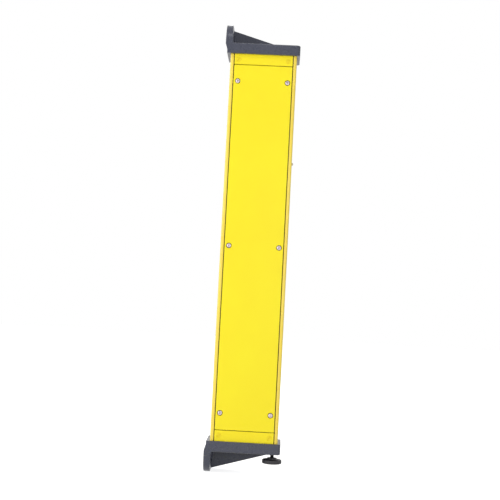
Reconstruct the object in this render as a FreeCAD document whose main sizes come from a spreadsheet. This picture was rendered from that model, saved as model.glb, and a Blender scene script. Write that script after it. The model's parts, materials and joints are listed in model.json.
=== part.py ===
import FreeCAD, Part
import math
import os
import Sketcher
from FreeCAD import Placement, Rotation, Vector

# Safety light curtain, receiver or sender unit, in millimetres.
# Origin: centre of the four mounting holes, on the mounting face x = 0.
# +X looks out of the light window, -Y out of the screwed service cover, +Z up the column.

os.makedirs("parts", exist_ok=True)
doc = FreeCAD.newDocument("SafetyLightCurtain")
sheet = doc.addObject("Spreadsheet::Sheet", "Sizes")

driving_sizes = [
    # name, value, what it measures
    ("profile_depth", 103.2, "housing extrusion along X"),
    ("profile_width", 53.5, "housing extrusion along Y"),
    ("profile_length", 598.0, "housing extrusion along Z"),
    ("profile_setback", 8.2, "mounting face to the extrusion"),
    ("profile_corner_radius", 2.8, "outer corners of the extrusion"),
    ("side_wall", 5.2, "the two walls whose edges are the rails beside the cover"),
    ("back_wall", 3.0, "wall opposite the cover"),
    ("rib_width", 12.0, "screw ribs under the cover's long edges"),
    ("rib_depth", 7.5, "screw ribs along Y"),
    ("corner_boss", 8.5, "square screw channels in the rear corners"),
    ("cover_thickness", 3.0, "service cover"),
    ("end_strip_height", 17.05, "face of the end strip along Z"),
    ("cover_side_gap", 1.3, "seam between cover and rail"),
    ("cover_end_gap", 1.0, "seam between cover and end strip"),
    ("cover_corner_radius", 1.0, "cover corners"),
    ("cover_gasket_thickness", 0.8, "pressed rubber under the cover"),
    ("cover_screw_setback", 7.9, "cover screws from the side walls"),
    ("cover_screw_inset", 25.25, "outer cover screws from the cover's ends"),
    ("end_screw_inset", 9.5, "end strip screws from the extrusion's ends"),
    ("end_block_depth", 10.0, "inner part of the end strip along Y"),
    ("end_block_length", 27.0, "inner part of the end strip along Z"),
    ("cap_thickness", 16.25, "end casting plate"),
    ("cap_overhang", 4.5, "end casting plate beyond the window side"),
    ("cap_width", 64.0, "end casting plate along Y"),
    ("cap_setback", 2.8, "mounting face to the side of the plate"),
    ("cap_corner_radius", 5.0, "upright corners of the end casting"),
    ("cap_edge_radius", 2.2, "outer edge of the end casting"),
    ("cap_recess", 2.0, "pocket in the end casting for the extrusion"),
    ("cap_gasket_thickness", 1.0, "rubber between extrusion and end casting"),
    ("flange_thickness", 9.4, "mounting flange at its tip"),
    ("flange_root_thickness", 11.2, "mounting flange at the plate"),
    ("flange_height", 33.75, "mounting flange beyond the plate"),
    ("flange_corner_radius", 31.0, "large round corner on the cover side"),
    ("flange_edge_radius", 0.6, "edges of the mounting flange"),
    ("flange_root_radius", 3.0, "fillet between flange and plate"),
    ("transition_start", 4.8, "plate side below the slope to the mounting face"),
    ("transition_length", 9.6, "slope from plate side to mounting face"),
    ("gusset_thickness", 7.0, "gusset on the far side"),
    ("gusset_drop", 0.7, "gusset top below the flange top"),
    ("gusset_tip_height", 3.75, "gusset at its thin end"),
    ("gusset_tip_setback", 6.0, "gusset thin end from the plate edge"),
    ("gusset_root_radius", 1.4, "fillet between gusset and plate"),
    ("mount_hole_diameter", 9.0, "for M8 bolts"),
    ("mount_hole_spacing", 24.0, "mounting holes across the flange"),
    ("mount_hole_height", 16.75, "mounting holes beyond the plate"),
    ("block_screw_half_spacing", 25.0, "casting screws in the end strips"),
    ("foot_setback", 12.1, "foot axis from the casting's window-side edge"),
    ("foot_stud_diameter", 6.0, "M6 stud"),
    ("foot_stud_exposed", 8.3, "stud between casting and foot"),
    ("foot_stud_clearance", 1.25, "stud end to the floor of the casting's recess"),
    ("foot_stud_seat", 5.5, "stud inside the pad"),
    ("foot_nut_height", 3.0, "thin lock nut"),
    ("foot_nut_flats", 10.0, "lock nut across flats"),
    ("foot_hub_diameter", 14.0, "foot hub"),
    ("foot_hub_height", 2.5, "foot hub"),
    ("foot_pad_diameter", 30.2, "foot pad"),
    ("foot_pad_height", 6.2, "foot pad"),
    ("foot_pad_radius", 1.6, "lower edge of the foot pad"),
    ("window_opening_width", 29.0, "milled light opening along Y"),
    ("window_end_inset", 39.0, "milled light opening from the extrusion's ends"),
    ("window_lip", 4.0, "lip that carries the pane"),
    ("window_corner_radius", 4.0, "corners of opening, recess and pane"),
    ("window_thickness", 2.0, "dark pane"),
    ("window_seal_thickness", 0.4, "bonding frame behind the pane"),
    ("indicator_height", 130.5, "status lamp above the middle"),
    ("indicator_inset", 5.85, "status lamp from the cover side"),
    ("indicator_dome_diameter", 4.2, "status lamp lens"),
    ("indicator_dome_height", 2.0, "status lamp lens"),
    ("indicator_stem_diameter", 2.5, "light pipe"),
    ("indicator_led_length", 3.0, "lamp body inside the hole"),
    ("indicator_led_flange", 4.0, "lamp flange diameter"),
    ("carrier_overlap", 8.0, "optics carrier beyond the light opening"),
    ("carrier_clearance", 1.6, "control board to the optics carrier"),
    ("carrier_wall", 2.0, "optics carrier"),
    ("carrier_inner_width", 25.0, "between the carrier's walls"),
    ("carrier_web_setback", 16.0, "rear edge of the carrier to its web"),
    ("carrier_foot_width", 12.0, "carrier foot along X"),
    ("carrier_screw_inset", 28.0, "outer carrier screws from the carrier's ends"),
    ("groove_depth", 0.8, "grooves for lens strip and sensor board"),
    ("beam_inset", 20.0, "outer beams from the light opening's ends"),
    ("stop_diameter", 7.0, "optical stops in the carrier's web"),
    ("lens_strip_thickness", 2.5, "lens plate"),
    ("lens_setback", 4.1, "lens plate from the carrier's front"),
    ("lens_aperture", 18.0, "one lens across"),
    ("lens_radius", 20.0, "curvature of one lens"),
    ("board_thickness", 1.6, "printed circuit boards"),
    ("sensor_board_setback", 4.0, "sensor board from the carrier's rear"),
    ("element_width", 5.6, "photo element case"),
    ("element_height", 4.0, "photo element case"),
    ("element_lens_diameter", 3.6, "photo element lens"),
    ("element_lens_height", 1.6, "photo element lens"),
    ("main_board_width", 30.0, "control board along X"),
    ("main_board_length", 180.0, "control board along Z"),
    ("main_board_offset", 10.3, "control board from the side wall"),
    ("main_board_gap", 18.0, "connector axis to the control board's lower end"),
    ("spacer_length", 12.0, "control board from the back wall"),
    ("spacer_flats", 5.5, "hexagonal spacers across flats"),
    ("spacer_inset", 5.0, "spacers from the board's edges"),
    ("spacer_stud_length", 2.0, "spacer thread in the back wall"),
    ("blind_hole_depth", 2.3, "tapped blind holes in the back wall"),
    ("terminal_pitch", 5.08, "pole to pole"),
    ("terminal_width", 10.0, "terminal block along X"),
    ("terminal_height", 10.0, "terminal block above the board"),
    ("relay_start_gap", 8.0, "terminal block to the first relay"),
    ("relay_gap", 4.0, "relay to relay"),
    ("relay_length", 28.0, "safety relay along Z"),
    ("relay_width", 12.6, "safety relay along X"),
    ("relay_height", 15.0, "safety relay above the board"),
    ("relay_edge", 0.8, "safety relay's rounded corners"),
    ("capacitor_diameter", 12.5, "smoothing capacitor"),
    ("capacitor_height", 20.0, "smoothing capacitor"),
    ("chip_size", 12.0, "controller chips"),
    ("chip_gap", 5.0, "clear board beside a chip along Z"),
    ("chip_height", 1.5, "controller chips"),
    ("link_width", 24.0, "board link along Z"),
    ("link_height", 6.0, "board link above the board"),
    ("link_overlap", 6.0, "board link over the control board"),
    ("connector_offset", 25.3, "connector axis from the side wall"),
    ("connector_inset", 41.0, "connector axis from the extrusion's lower end"),
    ("connector_bore", 14.2, "hole in the back wall"),
    ("connector_thread_diameter", 12.0, "M12 thread for the plug"),
    ("connector_thread_length", 8.5, "M12 thread for the plug"),
    ("connector_socket_diameter", 9.2, "socket inside the thread"),
    ("connector_socket_depth", 7.5, "socket to the insert"),
    ("connector_flange_flats", 17.0, "hexagonal flange"),
    ("connector_flange_height", 3.0, "hexagonal flange"),
    ("connector_rear_length", 11.0, "threaded rear inside the flange"),
    ("connector_seal_thickness", 1.0, "flat seal"),
    ("connector_nut_flats", 19.0, "lock nut across flats"),
    ("connector_nut_height", 3.0, "lock nut"),
    ("pin_diameter", 0.8, "contact pins"),
    ("pin_length", 6.0, "contact pins above the insert"),
    ("pin_circle", 5.5, "contact pin circle"),
    ("fit_gap", 0.3, "clearance round seated pieces"),
    ("thread_gap", 0.05, "radial clearance at threads"),
    ("cover_screw_diameter", 4.0, "M4 cover screws"),
    ("cover_screw_length", 9.5, "under the head"),
    ("cover_screw_head", 7.2, "pan head"),
    ("cover_screw_head_height", 2.3, "pan head"),
    ("cover_counterbore_depth", 1.4, "seat of the cover screws"),
    ("cover_counterbore", 8.4, "seat of the cover screws"),
    ("end_screw_length", 10.0, "countersunk screws, overall"),
    ("end_screw_head", 8.4, "countersunk head"),
    ("end_screw_cone", 2.3, "countersunk head height"),
    ("end_screw_slot", 1.1, "slot width"),
    ("end_screw_slot_depth", 1.1, "slot depth"),
    ("cap_screw_diameter", 4.0, "M4 socket screws"),
    ("cap_screw_length", 20.0, "under the head"),
    ("cap_screw_head", 7.0, "socket head"),
    ("cap_screw_head_height", 4.0, "socket head"),
    ("cap_screw_socket", 3.0, "hexagon socket"),
    ("cap_counterbore_depth", 4.4, "seat of the socket screws"),
    ("cap_screw_tapping", 12.0, "tapped depth in extrusion and end strip"),
    ("small_screw_diameter", 3.0, "M3 screws"),
    ("small_screw_head", 5.6, "M3 pan head"),
    ("small_screw_head_height", 2.0, "M3 pan head"),
    ("earth_screw_inset", 37.0, "earth screw from the extrusion's lower end"),
    ("earth_screw_grip", 5.0, "earth screw in the corner boss"),
    ("earth_washer_thickness", 1.0, "toothed washer"),
]


class Length:
    """A length that knows its number and the sheet expression it comes from."""

    def __init__(self, number, text):
        self.number = number
        self.text = text

    def __add__(self, other):
        return join(self, "+", other)

    def __radd__(self, other):
        return join(other, "+", self)

    def __sub__(self, other):
        return join(self, "-", other)

    def __rsub__(self, other):
        return join(other, "-", self)

    def __mul__(self, other):
        return join(self, "*", other)

    def __rmul__(self, other):
        return join(other, "*", self)

    def __truediv__(self, other):
        return join(self, "/", other)

    def __neg__(self):
        return join(0, "-", self)


def number_of(item):
    return item.number if isinstance(item, Length) else float(item)


def text_of(item):
    return item.text if isinstance(item, Length) else f"({item})"


def join(left, sign, right):
    a = number_of(left)
    b = number_of(right)
    result = {"+": a + b, "-": a - b, "*": a * b, "/": a / b if b else 0.0}[sign]
    return Length(result, f"({text_of(left)} {sign} {text_of(right)})")


class Sizes:
    """The driving sizes by name."""


size = Sizes()
for row, (name, value, meaning) in enumerate(driving_sizes, start=1):
    sheet.set(f"A{row}", name)
    sheet.set(f"B{row}", str(value))
    sheet.set(f"C{row}", meaning)
    sheet.setAlias(f"B{row}", name)
    setattr(size, name, Length(value, f"Sizes.{name}"))
doc.recompute()

# Planes and axes that several pieces share.
profile_left = size.profile_setback
profile_right = profile_left + size.profile_depth
profile_middle = profile_left + size.profile_depth / 2
profile_front = -size.profile_width / 2
profile_back = size.profile_width / 2
profile_end = size.profile_length / 2
inner_left = profile_left + size.side_wall
inner_right = profile_right - size.side_wall
inner_back = profile_back - size.back_wall
rib_left = inner_left + size.rib_width
rib_right = inner_right - size.rib_width
cover_back = profile_front + size.cover_thickness
seat = cover_back + size.cover_gasket_thickness
rib_back = seat + size.rib_depth
boss_face = inner_back - size.corner_boss
cover_left = inner_left + size.cover_side_gap
cover_right = inner_right - size.cover_side_gap
strip_start = profile_end - size.end_strip_height
cover_end = strip_start - size.cover_end_gap
cover_screw_pitch = cover_end - size.cover_screw_inset
end_screw_height = profile_end - size.end_screw_inset
recess_floor = profile_end + size.cap_gasket_thickness
cap_near = recess_floor - size.cap_recess
cap_far = cap_near + size.cap_thickness
cap_left = size.cap_setback
cap_right = profile_right + size.cap_overhang
cap_front = -size.cap_width / 2
cap_back = size.cap_width / 2
flange_tip = cap_far + size.flange_height
mount_height = cap_far + size.mount_hole_height
foot_x = cap_right - size.foot_setback
block_screw_y = seat + size.end_block_depth / 2
boss_screw_y = inner_back - size.corner_boss / 2
tapped_radius = size.cap_screw_diameter / 2 + size.thread_gap
board_left = inner_left + size.main_board_offset
board_right = board_left + size.main_board_width
carrier_front = inner_right - size.fit_gap
carrier_rear = board_right + size.carrier_clearance + size.carrier_foot_width
carrier_half = size.carrier_inner_width / 2
carrier_side = carrier_half + size.carrier_wall
web_rear = carrier_rear + size.carrier_web_setback
lens_front = carrier_front - size.lens_setback
lens_rear = lens_front - size.lens_strip_thickness
sensor_rear = carrier_rear + size.sensor_board_setback
sensor_front = sensor_rear + size.board_thickness
opening_end = profile_end - size.window_end_inset
carrier_end = opening_end + size.carrier_overlap
connector_x = inner_left + size.connector_offset
connector_z = size.connector_inset - profile_end
earth_screw_z = size.earth_screw_inset - profile_end
board_back = inner_back - size.spacer_length
board_front = board_back - size.board_thickness
board_low = connector_z + size.main_board_gap
board_high = board_low + size.main_board_length
beam_count = 13
terminal_poles = 8
outer_pins = 7

screw_lines = (inner_left + size.cover_screw_setback, inner_right - size.cover_screw_setback)
cover_screw_places = [(x, level * cover_screw_pitch) for x in screw_lines for level in (-1, 0, 1)]
end_screw_places = [(x, level * end_screw_height) for x in screw_lines for level in (-1, 1)]
cap_screw_places = [
    (profile_middle - size.block_screw_half_spacing, block_screw_y),
    (profile_middle + size.block_screw_half_spacing, block_screw_y),
    (inner_left + size.corner_boss / 2, boss_screw_y),
    (inner_right - size.corner_boss / 2, boss_screw_y),
]
carrier_screw_reach = carrier_end - size.carrier_screw_inset
carrier_screw_x = carrier_rear - size.carrier_foot_width / 2
carrier_screw_places = [(carrier_screw_x, share * carrier_screw_reach) for share in (-1, -1 / 3, 1 / 3, 1)]
spacer_places = [
    (x, z)
    for x in (board_left + size.spacer_inset, board_right - size.spacer_inset)
    for z in (board_low + size.spacer_inset, board_high - size.spacer_inset)
]
beam_pitch = 2 * (opening_end - size.beam_inset) / (beam_count - 1)
beam_heights = [(beam - (beam_count - 1) / 2) * beam_pitch for beam in range(beam_count)]


# Modelling helpers.
def new_body(name):
    body = doc.addObject("PartDesign::Body", name)
    body.Label = name
    return body


def new_sketch(body, name, plane, level):
    """A sketch on one of the body's own planes, moved to a level along X, Y or Z."""
    sketch = body.newObject("Sketcher::SketchObject", f"{body.Name}_{name}")
    role = {"X": "YZ_Plane", "Y": "XZ_Plane", "Z": "XY_Plane"}[plane]
    support = [feature for feature in body.Origin.OriginFeatures if feature.Role == role][0]
    sketch.AttachmentSupport = (support, [""])
    sketch.MapMode = "FlatFace"
    offset = -level if plane == "Y" else level
    sketch.setExpression("AttachmentOffset.Base.z", text_of(offset))
    return sketch


def bind(sketch, kind, geometry, point, length):
    index = sketch.addConstraint(Sketcher.Constraint(kind, -1, 1, geometry, point, number_of(length)))
    sketch.setExpression(f"Constraints[{index}]", text_of(length))


def polygon(*corners):
    """Draws a closed outline through corners given as pairs of lengths."""

    def draw(sketch):
        first = sketch.GeometryCount
        count = len(corners)
        points = [Vector(number_of(across), number_of(up), 0) for across, up in corners]
        for index, start in enumerate(points):
            sketch.addGeometry(Part.LineSegment(start, points[(index + 1) % count]))
        for index in range(count):
            following = first + (index + 1) % count
            sketch.addConstraint(Sketcher.Constraint("Coincident", first + index, 2, following, 1))
        for index, (across, up) in enumerate(corners):
            bind(sketch, "DistanceX", first + index, 1, across)
            bind(sketch, "DistanceY", first + index, 1, up)

    return draw


def rectangle(left, right, bottom, top):
    return polygon((left, bottom), (right, bottom), (right, top), (left, top))


def circles(radius, places):
    """Draws one circle of the same radius at each place."""

    def draw(sketch):
        for across, up in places:
            centre = Vector(number_of(across), number_of(up), 0)
            index = sketch.addGeometry(Part.Circle(centre, Vector(0, 0, 1), number_of(radius)))
            bind(sketch, "DistanceX", index, 3, across)
            bind(sketch, "DistanceY", index, 3, up)
            limit = sketch.addConstraint(Sketcher.Constraint("Radius", index, number_of(radius)))
            sketch.setExpression(f"Constraints[{limit}]", text_of(radius))

    return draw


def hexagon(flats, across=0, up=0, turn=0.0):
    """Draws a hexagon from its width across flats; turn is in degrees."""
    reach = flats / math.sqrt(3)
    corners = []
    for step in range(6):
        angle = math.radians(turn + 60 * step)
        corners.append((across + reach * math.cos(angle), up + reach * math.sin(angle)))
    return polygon(*corners)


def extrude(body, name, plane, low, high, *outlines):
    """Adds material between two levels along X, Y or Z."""
    sketch = new_sketch(body, f"{name}_outline", plane, high if plane == "Y" else low)
    for draw in outlines:
        draw(sketch)
    feature = body.newObject("PartDesign::Pad", f"{body.Name}_{name}")
    feature.Profile = sketch
    feature.setExpression("Length", text_of(high - low))
    doc.recompute()
    return feature


def cut(body, name, plane, low, high, *outlines):
    """Removes material between two levels along X, Y or Z."""
    before = body.Shape.Volume
    sketch = new_sketch(body, f"{name}_outline", plane, low if plane == "Y" else high)
    for draw in outlines:
        draw(sketch)
    feature = body.newObject("PartDesign::Pocket", f"{body.Name}_{name}")
    feature.Profile = sketch
    feature.setExpression("Length", text_of(high - low))
    doc.recompute()
    if body.Shape.Volume >= before:
        raise RuntimeError(f"{body.Name}: {name} removed nothing")
    return feature


def revolve(body, name, outline, kind="PartDesign::Revolution"):
    """Turns an outline of radii and heights round the body's Z axis."""
    sketch = new_sketch(body, f"{name}_outline", "Y", Length(0.0, "0"))
    outline(sketch)
    feature = body.newObject(kind, f"{body.Name}_{name}")
    feature.Profile = sketch
    feature.ReferenceAxis = (sketch, ["V_Axis"])
    feature.Angle = 360
    doc.recompute()
    return feature


def repeat(body, name, feature, spacing, count):
    """Repeats a feature along the body's Z axis."""
    pattern = body.newObject("PartDesign::LinearPattern", f"{body.Name}_{name}")
    pattern.Originals = [feature]
    axis = [item for item in body.Origin.OriginFeatures if item.Role == "Z_Axis"][0]
    pattern.Direction = (axis, [""])
    pattern.setExpression("Length", text_of(spacing * (count - 1)))
    pattern.Occurrences = count
    body.Tip = pattern
    doc.recompute()
    return pattern


def pick_edges(body, axis, **places):
    """Names the straight edges along an axis whose middle lies at the given coordinates."""
    along = {"x": Vector(1, 0, 0), "y": Vector(0, 1, 0), "z": Vector(0, 0, 1)}[axis]
    names = []
    for index, edge in enumerate(body.Shape.Edges, start=1):
        if edge.Degenerated or not isinstance(edge.Curve, Part.Line):
            continue
        if abs(edge.tangentAt(edge.FirstParameter).dot(along)) < 0.999:
            continue
        middle = edge.CenterOfMass
        if all(near(getattr(middle, key), wanted) for key, wanted in places.items()):
            names.append(f"Edge{index}")
    return names


def near(coordinate, wanted):
    """True at the wanted length, or at one of the listed lengths."""
    choices = wanted if isinstance(wanted, list) else [wanted]
    return any(abs(coordinate - number_of(choice)) < 0.01 for choice in choices)


def pick_rims(body, level):
    """Names the circular edges that lie flat at a height in the body."""
    names = []
    for index, edge in enumerate(body.Shape.Edges, start=1):
        if edge.Degenerated or not isinstance(edge.Curve, Part.Circle):
            continue
        if edge.BoundBox.ZLength < 0.01 and near(edge.BoundBox.ZMin, level):
            names.append(f"Edge{index}")
    return names


def pick_flange_rim(body):
    """Names the outer edges of the flange's leaning inner face, large corner included."""
    root = size.flange_root_thickness.number
    lean = (root - size.flange_thickness.number) / size.flange_height.number
    names = []
    for index, edge in enumerate(body.Shape.Edges, start=1):
        ends = [vertex.Point for vertex in edge.Vertexes]
        on_face = all(abs(root - (end.z - cap_far.number) * lean - end.x) < 0.01 for end in ends)
        if on_face and not near(edge.BoundBox.ZMax, cap_far):
            names.append(f"Edge{index}")
    return names


def round_edges(body, name, radius, edges):
    base = body.Tip
    feature = body.newObject("PartDesign::Fillet", f"{body.Name}_{name}")
    feature.Base = (base, edges)
    feature.setExpression("Radius", text_of(radius))
    doc.recompute()
    return feature


def group(name, master, places, rotation):
    """One node of separate equal solids: the master placed at each point."""
    links = []
    for index, (x, y, z) in enumerate(places, start=1):
        link = doc.addObject("App::Link", f"{name}_{index}")
        link.LinkedObject = master
        link.Placement = Placement(Vector(0, 0, 0), rotation)
        link.setExpression("Placement.Base.x", text_of(x))
        link.setExpression("Placement.Base.y", text_of(y))
        link.setExpression("Placement.Base.z", text_of(z))
        links.append(link)
    node = doc.addObject("Part::Compound", name)
    node.Label = name
    node.Links = links
    doc.recompute()
    return node


def place(body, x, y, z, rotation=Rotation()):
    body.Placement = Placement(Vector(0, 0, 0), rotation)
    body.setExpression("Placement.Base.x", text_of(x))
    body.setExpression("Placement.Base.y", text_of(y))
    body.setExpression("Placement.Base.z", text_of(z))
    doc.recompute()


def ordered(side, near_level, far_level):
    """The two levels above the middle, or their mirror images below it, lower one first."""
    if side > 0:
        return near_level, far_level
    return -far_level, -near_level


facing_up = Rotation()
facing_down = Rotation(Vector(1, 0, 0), 180)
facing_front = Rotation(Vector(1, 0, 0), 90)
facing_back = Rotation(Vector(1, 0, 0), -90)
facing_window = Rotation(Vector(0, 1, 0), 90)
nodes = []


# Housing: one extrusion, open at the cover, milled for the window and drilled.
def make_housing():
    body = new_body("housing_profile")
    extrude(
        body,
        "section",
        "Z",
        -profile_end,
        profile_end,
        polygon(
            (profile_left, profile_front),
            (inner_left, profile_front),
            (inner_left, seat),
            (rib_left, seat),
            (rib_left, rib_back),
            (inner_left, rib_back),
            (inner_left, boss_face),
            (inner_left + size.corner_boss, boss_face),
            (inner_left + size.corner_boss, inner_back),
            (inner_right - size.corner_boss, inner_back),
            (inner_right - size.corner_boss, boss_face),
            (inner_right, boss_face),
            (inner_right, rib_back),
            (rib_right, rib_back),
            (rib_right, seat),
            (inner_right, seat),
            (inner_right, profile_front),
            (profile_right, profile_front),
            (profile_right, profile_back),
            (profile_left, profile_back),
        ),
    )
    outer = pick_edges(body, "z", x=[profile_left, profile_right], y=[profile_front, profile_back])
    round_edges(body, "outer_corners", size.profile_corner_radius, outer)
    opening_half = size.window_opening_width / 2
    recess_half = opening_half + size.window_lip + size.fit_gap
    recess_end = opening_end + size.window_lip + size.fit_gap
    recess_depth = size.window_thickness + size.window_seal_thickness
    cut(
        body,
        "window_recess",
        "X",
        profile_right - recess_depth,
        profile_right,
        rectangle(-recess_half, recess_half, -recess_end, recess_end),
    )
    cut(
        body,
        "window_opening",
        "X",
        inner_right - size.fit_gap,
        profile_right,
        rectangle(-opening_half, opening_half, -opening_end, opening_end),
    )
    corners = pick_edges(body, "x", y=[-recess_half, recess_half], z=[-recess_end, recess_end])
    corners += pick_edges(body, "x", y=[-opening_half, opening_half], z=[-opening_end, opening_end])
    round_edges(body, "window_corners", size.window_corner_radius, corners)
    screw_radius = size.cover_screw_diameter / 2 + size.thread_gap
    front_places = cover_screw_places + end_screw_places
    cut(body, "cover_screw_holes", "Y", seat, rib_back, circles(screw_radius, front_places))
    bosses = cap_screw_places[2:]
    tapping_start = profile_end - size.cap_screw_tapping
    cut(body, "top_screw_holes", "Z", tapping_start, profile_end, circles(tapped_radius, bosses))
    cut(body, "bottom_screw_holes", "Z", -profile_end, -tapping_start, circles(tapped_radius, bosses))
    cut(
        body,
        "connector_hole",
        "Y",
        inner_back,
        profile_back,
        circles(size.connector_bore / 2, [(connector_x, connector_z)]),
    )
    small_radius = size.small_screw_diameter / 2 + size.thread_gap
    cut(
        body,
        "blind_holes",
        "Y",
        inner_back,
        inner_back + size.blind_hole_depth,
        circles(small_radius, carrier_screw_places + spacer_places),
    )
    cut(
        body,
        "earth_screw_hole",
        "Y",
        boss_face,
        boss_face + size.earth_screw_grip + size.fit_gap,
        circles(screw_radius, [(inner_left + size.corner_boss / 2, earth_screw_z)]),
    )
    cut(
        body,
        "indicator_hole",
        "X",
        rib_right,
        profile_right,
        circles(
            size.indicator_stem_diameter / 2 + size.thread_gap,
            [(profile_front + size.indicator_inset, size.indicator_height)],
        ),
    )
    nodes.append(body)


def make_cover():
    body = new_body("service_cover")
    outline = rectangle(cover_left, cover_right, -cover_end, cover_end)
    extrude(body, "plate", "Y", profile_front, cover_back, outline)
    corners = pick_edges(body, "y", x=[cover_left, cover_right], z=[-cover_end, cover_end])
    round_edges(body, "corners", size.cover_corner_radius, corners)
    cut(
        body,
        "screw_seats",
        "Y",
        profile_front,
        profile_front + size.cover_counterbore_depth,
        circles(size.cover_counterbore / 2, cover_screw_places),
    )
    clearance = size.cover_screw_diameter / 2 + size.fit_gap
    cut(body, "screw_holes", "Y", profile_front, cover_back, circles(clearance, cover_screw_places))
    nodes.append(body)

    gasket = new_body("cover_gasket")
    edge = strip_start - size.fit_gap
    bridge = size.end_block_length - (profile_end - cover_end)
    extrude(
        gasket,
        "sheet",
        "Y",
        cover_back,
        seat,
        rectangle(inner_left + size.fit_gap, inner_right - size.fit_gap, -edge, edge),
    )
    cut(
        gasket,
        "middle",
        "Y",
        cover_back,
        seat,
        rectangle(rib_left, rib_right, -cover_end + bridge, cover_end - bridge),
    )
    cut(gasket, "screw_holes", "Y", cover_back, seat, circles(clearance, cover_screw_places))
    nodes.append(gasket)


def make_end_strip(name, side):
    """Flush strip over the end of the opening; its inner block carries two casting screws."""
    body = new_body(name)
    low, high = ordered(side, strip_start, profile_end)
    extrude(body, "strip", "Y", profile_front, seat, rectangle(cover_left, cover_right, low, high))
    low, high = ordered(side, profile_end - size.end_block_length, profile_end)
    extrude(
        body,
        "block",
        "Y",
        seat,
        seat + size.end_block_depth,
        rectangle(rib_left + size.fit_gap, rib_right - size.fit_gap, low, high),
    )
    places = [spot for spot in end_screw_places if spot[1].number * side > 0]
    clearance = size.cover_screw_diameter / 2 + size.fit_gap
    cut(body, "screw_holes", "Y", profile_front, seat, circles(clearance, places))
    for index, (across, up) in enumerate(places, start=1):
        sink = body.newObject("PartDesign::SubtractiveCone", f"{body.Name}_countersink_{index}")
        sink.setExpression("Radius1", text_of(size.end_screw_head / 2 + size.thread_gap))
        sink.setExpression("Radius2", text_of(size.cover_screw_diameter / 2 + size.thread_gap))
        sink.setExpression("Height", text_of(size.end_screw_cone))
        place(sink, across, profile_front, up, facing_back)
    low, high = ordered(side, profile_end - size.cap_screw_tapping, profile_end)
    cut(body, "casting_screw_holes", "Z", low, high, circles(tapped_radius, cap_screw_places[:2]))
    nodes.append(body)


# End castings: a plate over the extrusion's end, a mounting flange and a gusset.
def make_top_bracket():
    body = new_body("top_bracket")
    zero = Length(0.0, "0")
    slope_start = cap_near + size.transition_start
    extrude(
        body,
        "side_outline",
        "Y",
        cap_front,
        cap_back,
        polygon(
            (cap_left, cap_near),
            (cap_left, slope_start),
            (zero, slope_start + size.transition_length),
            (zero, flange_tip),
            (size.flange_thickness, flange_tip),
            (size.flange_root_thickness, cap_far),
            (cap_right, cap_far),
            (cap_right, cap_near),
        ),
    )
    gap = size.fit_gap
    cut(
        body,
        "recess",
        "Z",
        cap_near,
        recess_floor,
        rectangle(profile_left - gap, profile_right + gap, profile_front - gap, profile_back + gap),
    )
    recess_corners = pick_edges(
        body,
        "z",
        x=[profile_left - gap, profile_right + gap],
        y=[profile_front - gap, profile_back + gap],
    )
    round_edges(body, "recess_corners", size.profile_corner_radius + gap, recess_corners)
    round_edges(body, "upright_corners", size.cap_corner_radius, pick_edges(body, "z", x=cap_right))
    outer_edge = pick_edges(body, "y", x=cap_right, z=cap_far)
    outer_edge += pick_edges(body, "x", y=[cap_front, cap_back], z=cap_far)
    round_edges(body, "outer_edge", size.cap_edge_radius, outer_edge)
    flange_corner = pick_edges(body, "x", y=cap_front, z=flange_tip)
    round_edges(body, "flange_corner", size.flange_corner_radius, flange_corner)
    round_edges(body, "flange_rim", size.flange_edge_radius, pick_flange_rim(body))
    gusset_front = cap_back - size.gusset_thickness
    gusset_right = cap_right - size.gusset_tip_setback
    gusset_top = flange_tip - size.gusset_drop
    extrude(
        body,
        "gusset",
        "Y",
        gusset_front,
        cap_back,
        polygon(
            (size.flange_thickness / 2, cap_far - size.cap_edge_radius),
            (size.flange_thickness / 2, gusset_top),
            (size.flange_thickness, gusset_top),
            (gusset_right, cap_far + size.gusset_tip_height),
            (gusset_right, cap_far - size.cap_edge_radius),
        ),
    )
    root = pick_edges(body, "y", x=size.flange_root_thickness, z=cap_far)
    round_edges(body, "flange_root", size.flange_root_radius, root)
    foot_line = pick_edges(body, "x", y=gusset_front, z=cap_far)
    round_edges(body, "gusset_root", size.gusset_root_radius, foot_line)
    half = size.mount_hole_spacing / 2
    cut(
        body,
        "mount_holes",
        "X",
        zero,
        size.flange_root_thickness,
        circles(size.mount_hole_diameter / 2, [(-half, mount_height), (half, mount_height)]),
    )
    clearance = size.cap_screw_diameter / 2 + size.fit_gap
    cut(body, "screw_holes", "Z", recess_floor, cap_far, circles(clearance, cap_screw_places))
    cut(
        body,
        "screw_seats",
        "Z",
        cap_far - size.cap_counterbore_depth,
        cap_far,
        circles(size.cap_screw_head / 2 + size.fit_gap, cap_screw_places),
    )
    nodes.append(body)
    return body


def make_bottom_bracket(top_bracket):
    """The mirror image of the top casting, drilled and tapped for the foot."""
    casting = doc.addObject("Part::Mirroring", "bottom_casting")
    casting.Source = top_bracket
    casting.Normal = Vector(0, 0, 1)
    drill = doc.addObject("Part::Cylinder", "foot_stud_drill")
    drill.setExpression("Radius", text_of(size.foot_stud_diameter / 2 + size.thread_gap))
    drill.setExpression("Height", text_of(size.cap_thickness))
    drill.setExpression("Placement.Base.x", text_of(foot_x))
    drill.setExpression("Placement.Base.z", text_of(-cap_far))
    bracket = doc.addObject("Part::Cut", "bottom_bracket")
    bracket.Base = casting
    bracket.Tool = drill
    bracket.Label = "bottom_bracket"
    doc.recompute()
    nodes.append(bracket)


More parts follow.
